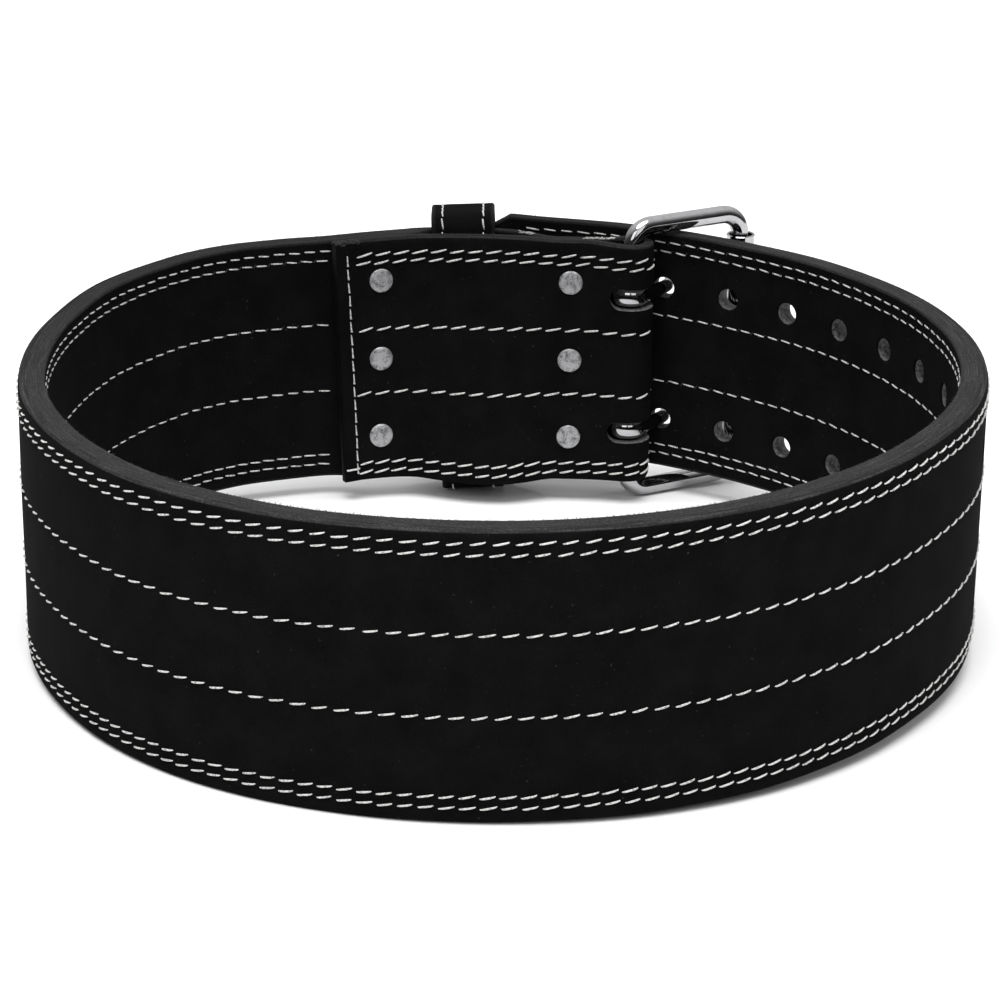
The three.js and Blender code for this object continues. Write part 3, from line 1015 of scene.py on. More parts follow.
@dataclass(frozen=True)
class BondedThread:
    """White bonded nylon thread: bright, slightly waxy, with its twist drawn coarser than real. The twist's
    pattern also mixes the lit tone with a painted shade tone, the round thread's darker edges painted onto
    it.
    """

    # light is the thread's lit tone, shade is a painted shade tone of the same white thread
    light: str = "d2d2d0"
    shade: str = "777776"
    twist_mm: float = 0.7

    def build(self) -> bpy.types.Material:
        """Builds the thread.

        Returns:
            The material.
        """
        surface = Surface("bonded_thread")
        twist = surface.pattern(per_mm(self.twist_mm), 2.0)
        # The twist pattern mixes the lit tone with the painted shade tone
        colour = colour_ramp(surface.tree, twist, (0.3, linear(self.shade)), (0.52, linear(self.light)))
        return surface.finish(
            {"Roughness": 0.55}, {"Base Color": colour, "Normal": surface.bump(twist, 0.5, 0.15)}
        )


@dataclass(frozen=True)
class ChromePlate:
    """Bright chrome over steel wire: a near mirror with faint handling marks."""

    plate: str = "b0afb1"
    dull: str = "a2a1a3"
    mark_mm: float = 3.0
    polished: float = 0.04
    handled: float = 0.11

    def build(self) -> bpy.types.Material:
        """Builds the plate.

        Returns:
            The material.
        """
        surface = Surface("chrome_plate")
        marks = surface.pattern(per_mm(self.mark_mm), 5.0, 0.7)
        limits = {"From Min": 0.35, "From Max": 0.7, "To Min": self.polished, "To Max": self.handled}
        colour = colour_ramp(surface.tree, marks, (0.3, linear(self.dull)), (0.5, linear(self.plate)))
        return surface.finish(
            {"Metallic": 1.0}, {"Base Color": colour, "Roughness": surface.remap(marks, limits)}
        )


@dataclass(frozen=True)
class TumbledRivet:
    """Tumbled aluminium rivets: dull grey with darker dings where they were set."""

    metal: str = "b0b0b2"
    ding: str = "4f4f51"
    ding_mm: float = 2.2
    grain_mm: float = 0.45

    def build(self) -> bpy.types.Material:
        """Builds the metal.

        Returns:
            The material.
        """
        surface = Surface("tumbled_rivet")
        grain = surface.pattern(per_mm(self.grain_mm), 2.0)
        tone = surface.blend(grain, surface.pattern(per_mm(self.ding_mm), 3.0, 0.6), 0.4)
        colour = colour_ramp(surface.tree, tone, (0.36, linear(self.ding)), (0.54, linear(self.metal)))
        return surface.finish(
            {"Metallic": 0.75, "Roughness": 0.55},
            {"Base Color": colour, "Normal": surface.bump(tone, 0.5, 0.2)},
        )


@dataclass(frozen=True)
class MattFinish:
    """A plain matt finish of one colour, such as the studio's sheet or loose fibres of leather."""

    name: str
    colour: str

    def build(self) -> bpy.types.Material:
        """Builds the finish.

        Returns:
            The material.
        """
        surface = Surface(self.name)
        return surface.finish(
            {"Base Color": linear(self.colour), "Roughness": 0.9, "Specular IOR Level": 0.1}
        )


KEEPER_SUEDE = NappedSuede(name="keeper_suede", edge="1d1d1d", edge_dark="131313", edge_fibre="2b2b2b")
LEATHER_FIBRE = MattFinish(name="leather_fibre", colour="3b3b3b")
PALE_FLOOR = MattFinish(name="pale_floor", colour="f3f3f3")


@dataclass
class Finishes:
    """The belt's materials, each built once."""

    suede: bpy.types.Material = field(default_factory=NappedSuede().build)
    keeper: bpy.types.Material = field(default_factory=KEEPER_SUEDE.build)
    fibre: bpy.types.Material = field(default_factory=LEATHER_FIBRE.build)
    raw: bpy.types.Material = field(default_factory=RawLeather().build)
    thread: bpy.types.Material = field(default_factory=BondedThread().build)
    chrome: bpy.types.Material = field(default_factory=ChromePlate().build)
    rivet: bpy.types.Material = field(default_factory=TumbledRivet().build)
    floor: bpy.types.Material = field(default_factory=PALE_FLOOR.build)


# The strap


@dataclass(frozen=True)
class OutlinePoint:
    """A point of the strap's section, as shares that fit any thickness."""

    depth_share: float
    depth_mm: float
    height: float
    perimeter: float
    dye: float
    dip: float = 0.0


@dataclass
class Strap:
    """The suede strap with its panel, fold, holes and slots."""

    finishes: Finishes
    step: float = 2.5
    face_steps: int = 18
    rim_steps: int = 5
    back_steps: int = 16
    punch_steps: int = 32
    slot_steps: int = 16
    row_shares: tuple[float, ...] = (0.042, 0.08, 0.35, 0.63, 0.906, 0.944)
    panel_shares: tuple[float, ...] = (0.061, 0.095, 0.367, 0.634, 0.924, 0.962)
    row_dip: float = 0.22
    row_dip_width: float = 1.1
    row_edge: float = 1.3
    row_room: float = 1.2
    ply_depth: float = 2.5
    ply_groove: float = 0.3
    ply_groove_half: float = 0.3
    back_ease: float = 0.3 * STRAP.back_edge_round
    dye_feather: float = 0.8
    foot_dye: float = 0.1
    dyed_from: float = math.radians(45)
    face_wave: float = 0.25
    rim_wave: float = 0.25
    wave_mm: float = 38.0
    punch_past: float = 3.0
    slot_past: float = 1.0
    outline: list[OutlinePoint] = field(init=False)

    def __post_init__(self) -> None:
        """Works out the section's outline."""
        self.outline = self._outline()

    def row_height(self, share: float) -> float:
        """The height of a stitch row, given its share of the width from the top."""
        return STRAP.width * (1 - share)

    def _dip(self, height: float) -> float:
        """How deep the stitch rows pull the leather in at a height."""
        rows = (self.row_height(share) for share in self.row_shares)
        return sum(self.row_dip * math.exp(-(((height - row) / self.row_dip_width) ** 2)) for row in rows)

    @staticmethod
    def _edge_tone(length: float) -> float:
        """How pale the dyed edge is at a place along the path, as a share: palest round the front of the
        loop, darker on the panel, behind the loop's start and towards the tongue's tip.
        """
        fold, loop, last = PATH.fold_start + 3, PATH.loop_start, len(PATH.stations) - 1
        tones = (
            (0, 0.62), (fold, 0.62), (loop, 0.5), (loop + 4, 0.6), (loop + 7, 1.0), (loop + 18, 1.0),
            (loop + 22, 0.85), (last - 4, 0.4), (last, 0.25),
        )
        station = PATH.station_at(length)
        for (low, first), (high, second) in zip(tones, tones[1:]):
            if station <= high:
                return mix(first, second, (station - low) / (high - low))
        return tones[-1][1]

    def _face_heights(self) -> list[float]:
        """Heights up the face, closer together at the stitch rows."""
        low, high = STRAP.face_edge_height, STRAP.width - STRAP.face_edge_height
        offsets = (-self.row_edge, 0.0, self.row_edge)
        near = [self.row_height(share) + offset for share in self.row_shares for offset in offsets]
        near = [height for height in near if low < height < high]
        even = [low, *(mix(low, high, step / self.face_steps) for step in range(1, self.face_steps)), high]
        kept = [height for height in even if all(abs(height - other) > self.row_room for other in near)]
        return sorted(kept + near)

    def _outline(self) -> list[OutlinePoint]:
        """The section's points round from the face's foot, up the face, over the rim and down the back.

        Returns:
            The outline without its closing point.
        """
        width, thick = STRAP.width, STRAP.thickness
        points = [OutlinePoint(0, self._dip(height), height, height, 0) for height in self._face_heights()]
        deep, tall = STRAP.face_edge_depth, STRAP.face_edge_height
        angles = [math.pi / 2 * step / self.rim_steps for step in range(1, self.rim_steps + 1)]
        arc = [(angle, deep * (1 - math.cos(angle)), tall * (1 - math.sin(angle))) for angle in angles]
        for angle, depth, inset in arc:
            points.append(OutlinePoint(0, depth, width - inset, width - inset, float(angle > self.dyed_from)))
        rim = (
            (0, self.ply_depth - self.ply_groove_half, 0), (0, self.ply_depth, self.ply_groove),
            (0, self.ply_depth + self.ply_groove_half, 0), (0.42, 0, 0), (0.55, 0, 0), (0.7, 0, 0),
            (0.84, 0, 0), (1, -STRAP.back_edge_round, 0),
        )
        for share, depth, dip in rim:
            points.append(OutlinePoint(share, depth, width, width + share * thick + depth, 1, dip))
        points.append(OutlinePoint(1, -self.back_ease, width - self.back_ease, width + thick, 1))
        top, foot = width - STRAP.back_edge_round, STRAP.back_edge_round
        inner = [mix(top, foot, step / self.back_steps) for step in range(1, self.back_steps)]
        for height in (top, top - self.dye_feather, *inner, foot + self.dye_feather, foot):
            dye = float(height in (top, foot))
            points.append(OutlinePoint(1, 0, height, 2 * width + thick - height, dye))
        points.append(OutlinePoint(1, -self.back_ease, self.back_ease, 2 * width + thick, 1))
        for share, depth, dip in reversed(rim):
            along = share * thick + depth
            points.append(OutlinePoint(share, depth, 0, 2 * width + 2 * thick - along, 1, dip))
        for _, depth, height in reversed(arc):
            points.append(OutlinePoint(0, depth, height, 2 * width + 2 * thick + height, self.foot_dye))
        return points

    def _place(self, section: Section, length: float, item: OutlinePoint) -> Vector:
        """Puts a point of the outline on the strap.

        Args:
            section: The strap's section.
            length: Its place along the path.
            item: The point of the outline.

        Returns:
            The point in the upright frame.
        """
        thin = min(1.0, section.thickness / (2 * STRAP.face_edge_depth + self.ply_depth))
        depth = item.depth_share * section.thickness + item.depth_mm * thin
        cut = max(0.0, section.cut)
        height = mix(cut, STRAP.width - cut, item.height / STRAP.width) if cut else item.height
        middle = STRAP.width / 2
        wave = noise.noise(Vector((length / self.wave_mm, height / self.wave_mm, 3.0)))
        edge = noise.noise(Vector((length / self.wave_mm, 9.0 if height > middle else 17.0, 0)))
        rim_share = (height - middle) / middle
        depth += self.face_wave * wave * (1 - item.depth_share)
        height += self.rim_wave * edge * rim_share * abs(rim_share)
        if item.dip:
            height -= math.copysign(item.dip, height - middle)
        return section.place(depth, height)

    def _body(self) -> bmesh.types.BMesh:
        """The strap before its holes are punched.

        Returns:
            A closed mesh with the run and dye UV maps.
        """
        along = round(PATH.length / self.step)
        lengths = [PATH.length * step / along for step in range(along + 1)]
        sections = [PATH.at(length) for length in lengths]
        tones = [self._edge_tone(length) for length in lengths]
        outline = self.outline
        around = len(outline)
        closing = 2 * STRAP.width + 2 * STRAP.thickness + outline[0].height
        perimeter = [item.perimeter for item in outline] + [closing]
        return wrap_grid(
            along,
            around,
            lambda step, turn: self._place(sections[step], lengths[step], outline[turn]),
            {
                "run": lambda step, turn: (lengths[step] * MM, perimeter[turn] * MM),
                "dye": lambda step, turn: (outline[turn % around].dye, tones[step]),
            },
        )

    def _punches(self) -> bmesh.types.BMesh:
        """The punches of the holes and the prong slots, in one mesh."""
        bm = bmesh.new()
        for pair in range(HOLES.pairs):
            section = hole_section(pair)
            for row in HOLE_ROWS:
                self._add_punch(bm, section, row)
        for row in HOLE_ROWS:
            self._add_slot(bm, row + hole_section(0).lift)
        return bm

    def _add_punch(self, bm: bmesh.types.BMesh, section: Section, height: float) -> None:
        """Adds a round punch that flares at both faces.

        Args:
            bm: The mesh that it is added to.
            section: The strap's section at the hole.
            height: The hole's height up the strap.
        """
        radius, half, flare = HOLES.diameter / 2, section.thickness / 2, HOLES.mouth_flare
        past = half + self.punch_past
        profile = [
            (0, -past), (radius + 2 * flare, -past), (radius + flare, -half), (radius, -half + flare),
            (radius, half - flare), (radius + flare, half), (radius + 2 * flare, past), (0, past),
        ]
        made = lathe(bm, profile, self.punch_steps)
        faces = list({face for vert in made for face in vert.link_faces})
        for face in faces:
            on_wall = all(abs(vert.co.z) < half - 0.5 * flare for vert in face.verts)
            face.material_index = 1 if on_wall else 0
        turn = UP.rotation_difference(section.outward).to_matrix().to_4x4()
        centre = section.place(half, height)
        bmesh.ops.transform(bm, matrix=Matrix.Translation(centre) @ turn, verts=made)
        bmesh.ops.recalc_face_normals(bm, faces=faces)

    def _add_slot(self, bm: bmesh.types.BMesh, height: float) -> None:
        """Adds the punch of a prong's slot, which runs round the fold.

        Args:
            bm: The mesh that it is added to.
            height: The slot's height.
        """
        half = BUCKLE.slot_height / 2
        reach = PATH.fold_radius + self.slot_past
        loop = BUCKLE.wire / 2 + BUCKLE.gap + BUCKLE.prong_loop_thickness
        start = BUCKLE.bar_across - loop - BUCKLE.slot_clearance + half
        end = BUCKLE.bar_across + reach
        arc = [math.pi * (0.5 + step / self.slot_steps) for step in range(self.slot_steps + 1)]
        points = [(start + half * math.cos(angle), half * math.sin(angle)) for angle in arc]
        points += [(end, -half), (end, half)]
        verts = [bm.verts.new((x, BUCKLE.bar_reach - reach, height + z)) for x, z in points]
        face = bm.faces.new(verts)
        made = bmesh.ops.extrude_face_region(bm, geom=[face])["geom"]
        top = [item for item in made if isinstance(item, bmesh.types.BMVert)]
        walls = {item for vert in verts for item in vert.link_faces}
        for wall in walls:
            wall.material_index = 1
        bmesh.ops.translate(bm, verts=top, vec=(0, 2 * reach, 0))
        faces = walls | {item for vert in top for item in vert.link_faces}
        bmesh.ops.recalc_face_normals(bm, faces=list(faces))

    def build(self) -> bpy.types.Object:
        """Builds the strap, punches it and places it.

        Returns:
            The strap's piece.
        """
        leathers = (self.finishes.suede, self.finishes.raw)
        blank = link_object("strap_blank", to_mesh("suede_strap", self._body()))
        punch = link_object("punches", to_mesh("punches", self._punches()))
        for holder in (blank, punch):
            for leather in leathers:
                holder.data.materials.append(leather)
        cut = blank.modifiers.new("holes", "BOOLEAN")
        cut.operation = "DIFFERENCE"
        cut.solver = "EXACT"
        cut.object = punch
        evaluated = blank.evaluated_get(bpy.context.evaluated_depsgraph_get())
        punched = bpy.data.meshes.new_from_object(evaluated)
        punched.name = "suede_strap"
        bpy.data.objects.remove(blank)
        bpy.data.objects.remove(punch)
        return finish_mesh("suede_strap", punched, leathers, ("strap",), 50.0)


# Stitching


@dataclass(frozen=True)
class StitchStyle:
    """How one side's stitches lie, in millimetres."""

    pitch: float
    length: float
    radius: float
    crown: float = 0.0
    slant: float = 0.0


@dataclass
class Stitching:
    """The white thread on the strap: six rows round it and the seam across the panel's end."""

    finishes: Finishes
    strap: Strap
    face: StitchStyle = StitchStyle(pitch=7.2, length=5.8, radius=0.36, crown=0.3, slant=10)
    panel: StitchStyle = StitchStyle(pitch=7.5, length=6.7, radius=0.42, crown=0.35, slant=11)
    back: StitchStyle = StitchStyle(pitch=6.8, length=5.6, radius=0.32, crown=0.1, slant=4)
    seam: StitchStyle = StitchStyle(pitch=5.6, length=4.4, radius=0.34)
    sink: float = 0.6
    clearance: float = 0.7
    row_paces: tuple[float, ...] = (1.02, 1.0, 1.04, 1.04, 0.93, 0.94)
    corner_room: float = 2.5
    panel_margin: float = 1.0
    tip_margin: float = 27.0
    back_margin: float = 6.0
    seam_inset: float = 5.3
    seam_slope: float = 3.0
    seam_foot: float = 0.035 * STRAP.width
    seam_top: float = 0.955 * STRAP.width
    seam_tail: float = 0.055 * STRAP.width

    def _stitch(
        self, style: StitchStyle, surface: Callable[[float, float, float], Vector], middle: float,
        height: float, jitter: random.Random,
    ) -> Strand:
        """One stitch along a surface, dipping into its needle holes at both ends.

        Args:
            style: How it lies.
            surface: Gives the point at a place along the row, a height and a rise out of the leather.
            middle: The middle's place along the row.
            height: The row's height.
            jitter: The source of small differences.

        Returns:
            Its points with their radii.
        """
        half = style.length / 2 * jitter.uniform(0.93, 1.05)
        slope = math.tan(math.radians(style.slant + jitter.uniform(-2.5, 2.5)))
        height += jitter.uniform(-0.15, 0.15)
        shape = ((-1.0, -self.sink, 0.35), (-0.8, 0.2, 0.72), (-0.4, 0.9, 1.0),
                 (0.35, 0.95, 1.0), (0.78, 0.3, 0.78), (1.0, -self.sink, 0.35))
        strand = []
        for share, rise, thick in shape:
            lifted = style.crown * rise if rise > 0 else rise
            place = surface(middle + share * half, height + share * half * slope, lifted)
            strand.append((place, style.radius * thick))
        return strand

    @staticmethod
    def _on_face(length: float, height: float, rise: float) -> Vector:
        """The point on the strap's face, raised out of it."""
        return PATH.at(length).place(-rise, height)

    @staticmethod
    def _on_back(length: float, height: float, rise: float) -> Vector:
        """The point on the strap's back, raised out of it."""
        section = PATH.at(length)
        return section.place(section.thickness + rise, height)

    def _clear_of_holes(self, length: float, height: float) -> bool:
        """Whether a stitch here misses the punched holes."""
        for pair in range(HOLES.pairs):
            hole = PATH.length - HOLES.tip_to_first - pair * HOLES.pitch
            for row in HOLE_ROWS:
                if math.hypot(length - hole, height - row) < HOLES.diameter / 2 + self.clearance:
                    return False
        return True

    def _rows(
        self, side: Side, shares: Sequence[float], start: float, end: float, style: StitchStyle, seed: int
    ) -> list[Strand]:
        """All the stitches of the strap's rows between two places.

        Args:
            side: The side of the strap.
            shares: Where the rows lie, as shares of the width from the top.
            start: The first needle hole's place along the path.
            end: Where the rows stop.
            style: How the stitches lie.
            seed: The seed of their small differences.

        Returns:
            The strands.
        """
        surface = self._on_face if side is Side.FACE else self._on_back
        jitter = random.Random(seed)
        strands = []
        for share, pace in zip(shares, self.row_paces):
            height = self.strap.row_height(share)
            middle = start + style.pitch * jitter.uniform(0.45, 0.75)
            while middle + style.length / 2 < end:
                section = PATH.at(middle)
                room = section.cut + self.corner_room
                if room < height < STRAP.width - room and self._clear_of_holes(middle, height):
                    strands.append(self._stitch(style, surface, middle, height, jitter))
                middle += style.pitch * pace * jitter.uniform(0.985, 1.015)
        return strands

    def _end_seam(self) -> list[Strand]:
        """The seam across the panel's end, with a small knot at each needle hole."""
        jitter = random.Random(7)
        count = round((self.seam_top - self.seam_foot) / self.seam.pitch)
        shape = ((0.0, -0.6, 0.6), (0.07, 0.35, 1.5), (0.2, 0.2, 0.95), (0.7, 0.2, 0.9),
                 (0.93, 0.1, 0.6), (1.0, -0.6, 0.4))
        strands = []
        for index in range(count):
            low = mix(self.seam_foot, self.seam_top, index / count)
            drift = jitter.uniform(-0.2, 0.2)
            points = []
            for share, rise, thick in shape:
                height = mix(low, low + self.seam.length, share)
                place = self._seam_place(height) + drift * share
                points.append((self._on_face(place, height, rise * 0.8), self.seam.radius * thick))
            strands.append(points)
        last = self._seam_place(self.seam_foot)
        ends = ((0.3, 0.1), (1.6, 0.35), (0.6 * last, 0.3), (last, 0.4), (last + 1.2, -0.5))
        strands.append([(self._on_face(place, self.seam_tail, out), 0.4) for place, out in ends])
        return strands

    def _seam_place(self, height: float) -> float:
        """How far along the path the end seam lies at a height."""
        return self.seam_inset + self.seam_slope * (0.5 - height / STRAP.width)

    def build(self) -> list[bpy.types.Object]:
        """Builds the strap's stitching.

        Returns:
            The pieces.
        """
        panel_end = self.seam_inset + self.panel_margin
        fold_end = PATH.length_of(PATH.fold_start + 3)
        back_start = PATH.length_of(PATH.loop_start - 1) + self.back_margin
        tip = PATH.length - self.tip_margin
        panel, strap = self.strap.panel_shares, self.strap.row_shares
        rows = {
            "stitches_panel": [
                *self._rows(Side.FACE, panel, panel_end, fold_end, self.panel, 11), *self._end_seam(),
            ],
            "stitches_face": self._rows(Side.FACE, strap, fold_end, tip, self.face, 23),
            "stitches_back": self._rows(Side.BACK, strap, back_start, tip, self.back, 31),
        }
        return [
            finish_strands(name, strands, 1, self.finishes.thread) for name, strands in rows.items()
        ]


# The keeper


@dataclass
class Keeper:
    """The leather band round the buckle end and the tongue."""

    finishes: Finishes
    across_steps: int = 14
    run_step: float = 2.5
    row_inset: float = 4.6
    corner_steps: int = 8
    edge_soft: float = 0.8
    dye_fade: float = 2.4
    row_dip: float = 0.18
    row_dip_width: float = 0.9
    surface_wave: float = 0.12
    stitch: StitchStyle = StitchStyle(pitch=4.9, length=4.2, radius=0.36, crown=0.2)
    row_skew: float = 0.25

    def _corners(self) -> list[Vector]:
        """The corners of the band's middle line, as reach and height."""
        half = KEEPER.thickness / 2
        end = PATH.stations[:PATH.fold_start]
        near = [row for row in end if abs(row[0] - KEEPER.across) < 0.9 * KEEPER.width]
        backs = [(row[1] + row[2], row[4]) for row in near]
        inner_top = max(back + lean / 2 for back, lean in backs) + KEEPER.gap + half
        inner_bottom = max(back - lean / 2 for back, lean in backs) + KEEPER.gap + half
        outer = max(row[1] for row in PATH.stations[-6:]) + KEEPER.gap + half
        slope = (inner_top - inner_bottom) / STRAP.width
        top = STRAP.width + KEEPER.above - half
        bottom = -KEEPER.below + half
        return [
            Vector((inner_bottom + slope * bottom, bottom)), Vector((outer, bottom)),
            Vector((outer, top)), Vector((inner_bottom + slope * top, top)),
        ]

    def _run(self) -> list[tuple[Vector, Vector]]:
        """Points of the band's middle line with their outward directions.

        Returns:
            Evenly spaced pairs, once round.
        """
        corners = self._corners()
        line: list[Vector] = []
        for index, corner in enumerate(corners):
            before, after = corners[index - 1], corners[(index + 1) % len(corners)]
            into, away = (corner - before).normalized(), (after - corner).normalized()
            start, end = corner - into * KEEPER.corner, corner + away * KEEPER.corner
            for step in range(self.corner_steps + 1):
                share = step / self.corner_steps
                line.append(start * (1 - share) ** 2 + corner * (2 * share * (1 - share)) + end * share**2)
        closed = line + line[:1]
        lengths = [0.0]
        for first, second in zip(closed, closed[1:]):
            lengths.append(lengths[-1] + (second - first).length)
        count = round(lengths[-1] / self.run_step)
        points = []
        cursor = 0
        for step in range(count):
            target = lengths[-1] * step / count
            while lengths[cursor + 1] < target:
                cursor += 1
            share = (target - lengths[cursor]) / (lengths[cursor + 1] - lengths[cursor])
            points.append(closed[cursor].lerp(closed[cursor + 1], share))
        run = []
        for index, point in enumerate(points):
            along = (points[(index + 1) % count] - points[index - 1]).normalized()
            run.append((point, Vector((along.y, -along.x))))
        return run

    @staticmethod
    def _place(point: Vector, across: float) -> Vector:
        """Puts a point of the band's plane and a place across it into the upright frame."""
        turn = math.radians(KEEPER.turn)
        high = point.y - STRAP.width / 2
        return Vector((
            KEEPER.across + across * math.cos(turn) - high * math.sin(turn),
            point.x,
            STRAP.width / 2 + across * math.sin(turn) + high * math.cos(turn),
        ))

    def _strands(self, run: Sequence[tuple[Vector, Vector]]) -> list[Strand]:
        """The two rows of thread.

        Args:
            run: The band's middle line with its outward directions.

        Returns:
            The strands.
        """
        jitter = random.Random(5)
        rise_out, row = KEEPER.thickness / 2, KEEPER.width / 2 - self.row_inset
        shape = ((-1.0, -0.7, 0.55), (-0.8, 0.3, 0.85), (-0.3, 1, 1), (0.3, 1, 1), (0.8, 0.3, 0.85),
                 (1.0, -0.7, 0.55))
        strands = []
        for across in (-row, row):
            middle = jitter.uniform(0, self.stitch.pitch)
            while middle < len(run) * self.run_step:
                strand = []
                for share, rise, thick in shape:
                    at = (middle + share * self.stitch.length / 2) / self.run_step
                    first = math.floor(at) % len(run)
                    second = (first + 1) % len(run)
                    part = at - math.floor(at)
                    point = run[first][0].lerp(run[second][0], part)
                    outward = run[first][1].lerp(run[second][1], part).normalized()
                    out = rise_out + (self.stitch.crown * rise if rise > 0 else rise)
                    place = self._place(point + outward * out, across + self.row_skew * share)
                    strand.append((place, self.stitch.radius * thick))
                strands.append(strand)
                middle += self.stitch.pitch
        return strands

    def _band(self, run: Sequence[tuple[Vector, Vector]]) -> bmesh.types.BMesh:
        """The leather band.

        Args:
            run: The band's middle line with its outward directions.

        Returns:
            A closed mesh with the run and dye UV maps.
        """
        half, wide, soft = KEEPER.thickness / 2, KEEPER.width / 2, self.edge_soft
        outline = [(-wide, -half + soft), (-wide, half - soft), (-wide + 0.3 * soft, half - 0.3 * soft)]
        shares = [step / self.across_steps for step in range(self.across_steps + 1)]
        outline += [(mix(-wide + soft, wide - soft, share), half) for share in shares]
        outline += [(-x, -y) for x, y in outline]
        around = len(outline)
        perimeter = [0.0]
        for first, second in zip(outline, outline[1:] + outline[:1]):
            perimeter.append(perimeter[-1] + math.dist(first, second))
        insets = [wide - abs(x) for x, _ in outline]
        dye = [1.0 if inset < 0.5 * soft else max(0.0, 1 - inset / self.dye_fade) for inset in insets]

        def place(step: int, turn: int) -> Vector:
            """The band's surface at a step along and a step round its section."""
            point, outward = run[step]
            across, depth = outline[turn]
            off_row = min(abs(abs(across) - (wide - self.row_inset)), 2.0)
            dip = self.row_dip * math.exp(-((off_row / self.row_dip_width) ** 2)) if depth > 0 else 0
            wave = self.surface_wave * noise.noise(Vector((step / 7, across / 9, 5)))
            return self._place(point + outward * (depth - dip + wave), across)

        return wrap_grid(
            len(run), around, place,
            {
                "run": lambda step, turn: (step * self.run_step * MM, perimeter[turn] * MM),
                "dye": lambda step, turn: (dye[turn % around], 1.0),
            },
            close_along=True,
        )

    def build(self) -> list[bpy.types.Object]:
        """Builds the band and its two rows of thread.

        Returns:
            The pieces.
        """
        run = self._run()
        leather = (self.finishes.keeper,)
        band = finish_piece("keeper_band", self._band(run), leather, ("keeper",), 60.0)
        thread = finish_strands("stitches_keeper", self._strands(run), 1, self.finishes.thread)
        return [band, thread]


# Loose fibres


@dataclass
class LooseFibres:
    """Fluff on the cut edges, torn lips at the needle holes and the frayed ends by the rivets."""

    finishes: Finishes
    strap: Strap
    fluff_pitch: float = 0.8
    fluff_length: float = 0.42
    fluff_radius: float = 0.1
    lip_pitch: float = 6.8
    lip_length: float = 1.7
    frays: tuple[tuple[float, float], ...] = ((8.0, 13.5), (32.0, 46.0))
    worn_length: float = 9.0
    worn_fibres: int = 260
    lip_end: float = 30.0
    frays_per_mm: float = 5.0

    def _fluff(self, seed: int) -> list[Strand]:
        """Short fibres that stand up along both edges of the burnished rims.

        Args:
            seed: The seed of their places.

        Returns:
            The strands.
        """
        jitter = random.Random(seed)
        strands = []
        length = 1.0
        while length < PATH.length - 1:
            section = PATH.at(length)
            back = jitter.random() < 0.7
            depth = section.thickness - jitter.uniform(0, 0.8) if back else jitter.uniform(1.6, 2.4)
            height = STRAP.width - max(0.0, section.cut)
            lean = jitter.uniform(0.3, 1.0) if back else -jitter.uniform(0.2, 0.6)
            reach = self.fluff_length * jitter.uniform(0.35, 1.0)
            drift = jitter.uniform(-0.6, 0.6)
            root = section.place(depth, height - 0.2)
            tip = root + UP * (0.2 + reach * 0.5) - section.outward * (reach * lean) + section.tangent * drift
            middle = root.lerp(tip, 0.5) + UP * (0.2 * reach)
            strands.append([
                (root, self.fluff_radius * 1.3), (middle, self.fluff_radius), (tip, self.fluff_radius * 0.4),
            ])
            length += self.fluff_pitch * jitter.uniform(0.2, 1.8)
        return strands

    def _lips(self, seed: int) -> list[Strand]:
        """Torn lips of leather where the needle came out of the strap's back.

        Args:
            seed: The seed of their places.

        Returns:
            The strands.
        """
        jitter = random.Random(seed)
        shape = ((-1, -0.1, 0.6), (-0.3, 0.16, 1.0), (0.4, 0.12, 0.9), (1, -0.1, 0.5))
        strands = []
        for share in self.strap.row_shares:
            height = self.strap.row_height(share)
            length = PATH.length_of(PATH.loop_start) + jitter.uniform(0, self.lip_pitch)
            while length < PATH.length - self.lip_end:
                section = PATH.at(length)
                strand = []
                for along, rise, thick in shape:
                    high = height + along * self.lip_length / 2 + jitter.uniform(-0.1, 0.1)
                    skew = section.tangent * (-0.35 * along * self.lip_length)
                    strand.append((section.place(section.thickness + rise, high) + skew, 0.2 * thick))
                strands.append(strand)
                length += self.lip_pitch * jitter.uniform(0.97, 1.03)
        return strands

    def _fray(self, seed: int) -> list[Strand]:
        """Pale thread ends that fray out between the two layers near the rivets.

        Args:
            seed: The seed of their places.

        Returns:
            The strands.
        """
        jitter = random.Random(seed)
        first, last = PATH.fold_start + 7, PATH.loop_start - 1
        strands = []
        for low, high in self.frays:
            for _ in range(round((high - low) * self.frays_per_mm)):
                station = PATH.across(jitter.uniform(low, high), first, last)
                section = PATH.at_station(station)
                root = section.place(section.thickness - jitter.uniform(-0.5, 1.4), STRAP.width - 0.2)
                sway = Vector((
                    jitter.uniform(-1.6, 1.6), jitter.uniform(-0.7, 0.5), jitter.uniform(0.1, 0.9),
                ))
                middle = root + sway * 0.5 + UP * 0.25
                strands.append([(root, 0.12), (middle, 0.11), (root + sway, 0.05)])
        return strands

    def _worn_end(self, seed: int) -> list[Strand]:
        """Fuzz on the turned end's top corner, where the fibres have come loose.

        Args:
            seed: The seed of their places.

        Returns:
            The strands.
        """
        jitter = random.Random(seed)
        strands = []
        for _ in range(self.worn_fibres):
            section = PATH.at(jitter.uniform(0.2, self.worn_length))
            root = section.place(section.thickness * jitter.random(), STRAP.width - jitter.uniform(0.2, 1.6))
            sway = Vector((jitter.uniform(-1.3, 0.7), jitter.uniform(-0.9, 0.9), jitter.uniform(-0.1, 0.7)))
            middle = root.lerp(root + sway, 0.5) + UP * 0.2
            strands.append([(root, 0.24), (middle, 0.2), (root + sway, 0.06)])
        return strands

    def build(self) -> list[bpy.types.Object]:
        """Builds the fibres.

        Returns:
            The pieces.
        """
        leather = self._fluff(3) + self._lips(13) + self._worn_end(29)
        return [
            finish_strands("edge_fluff", leather, 0, self.finishes.fibre),
            finish_strands("frayed_ends", self._fray(17), 0, self.finishes.thread),
        ]


# The buckle


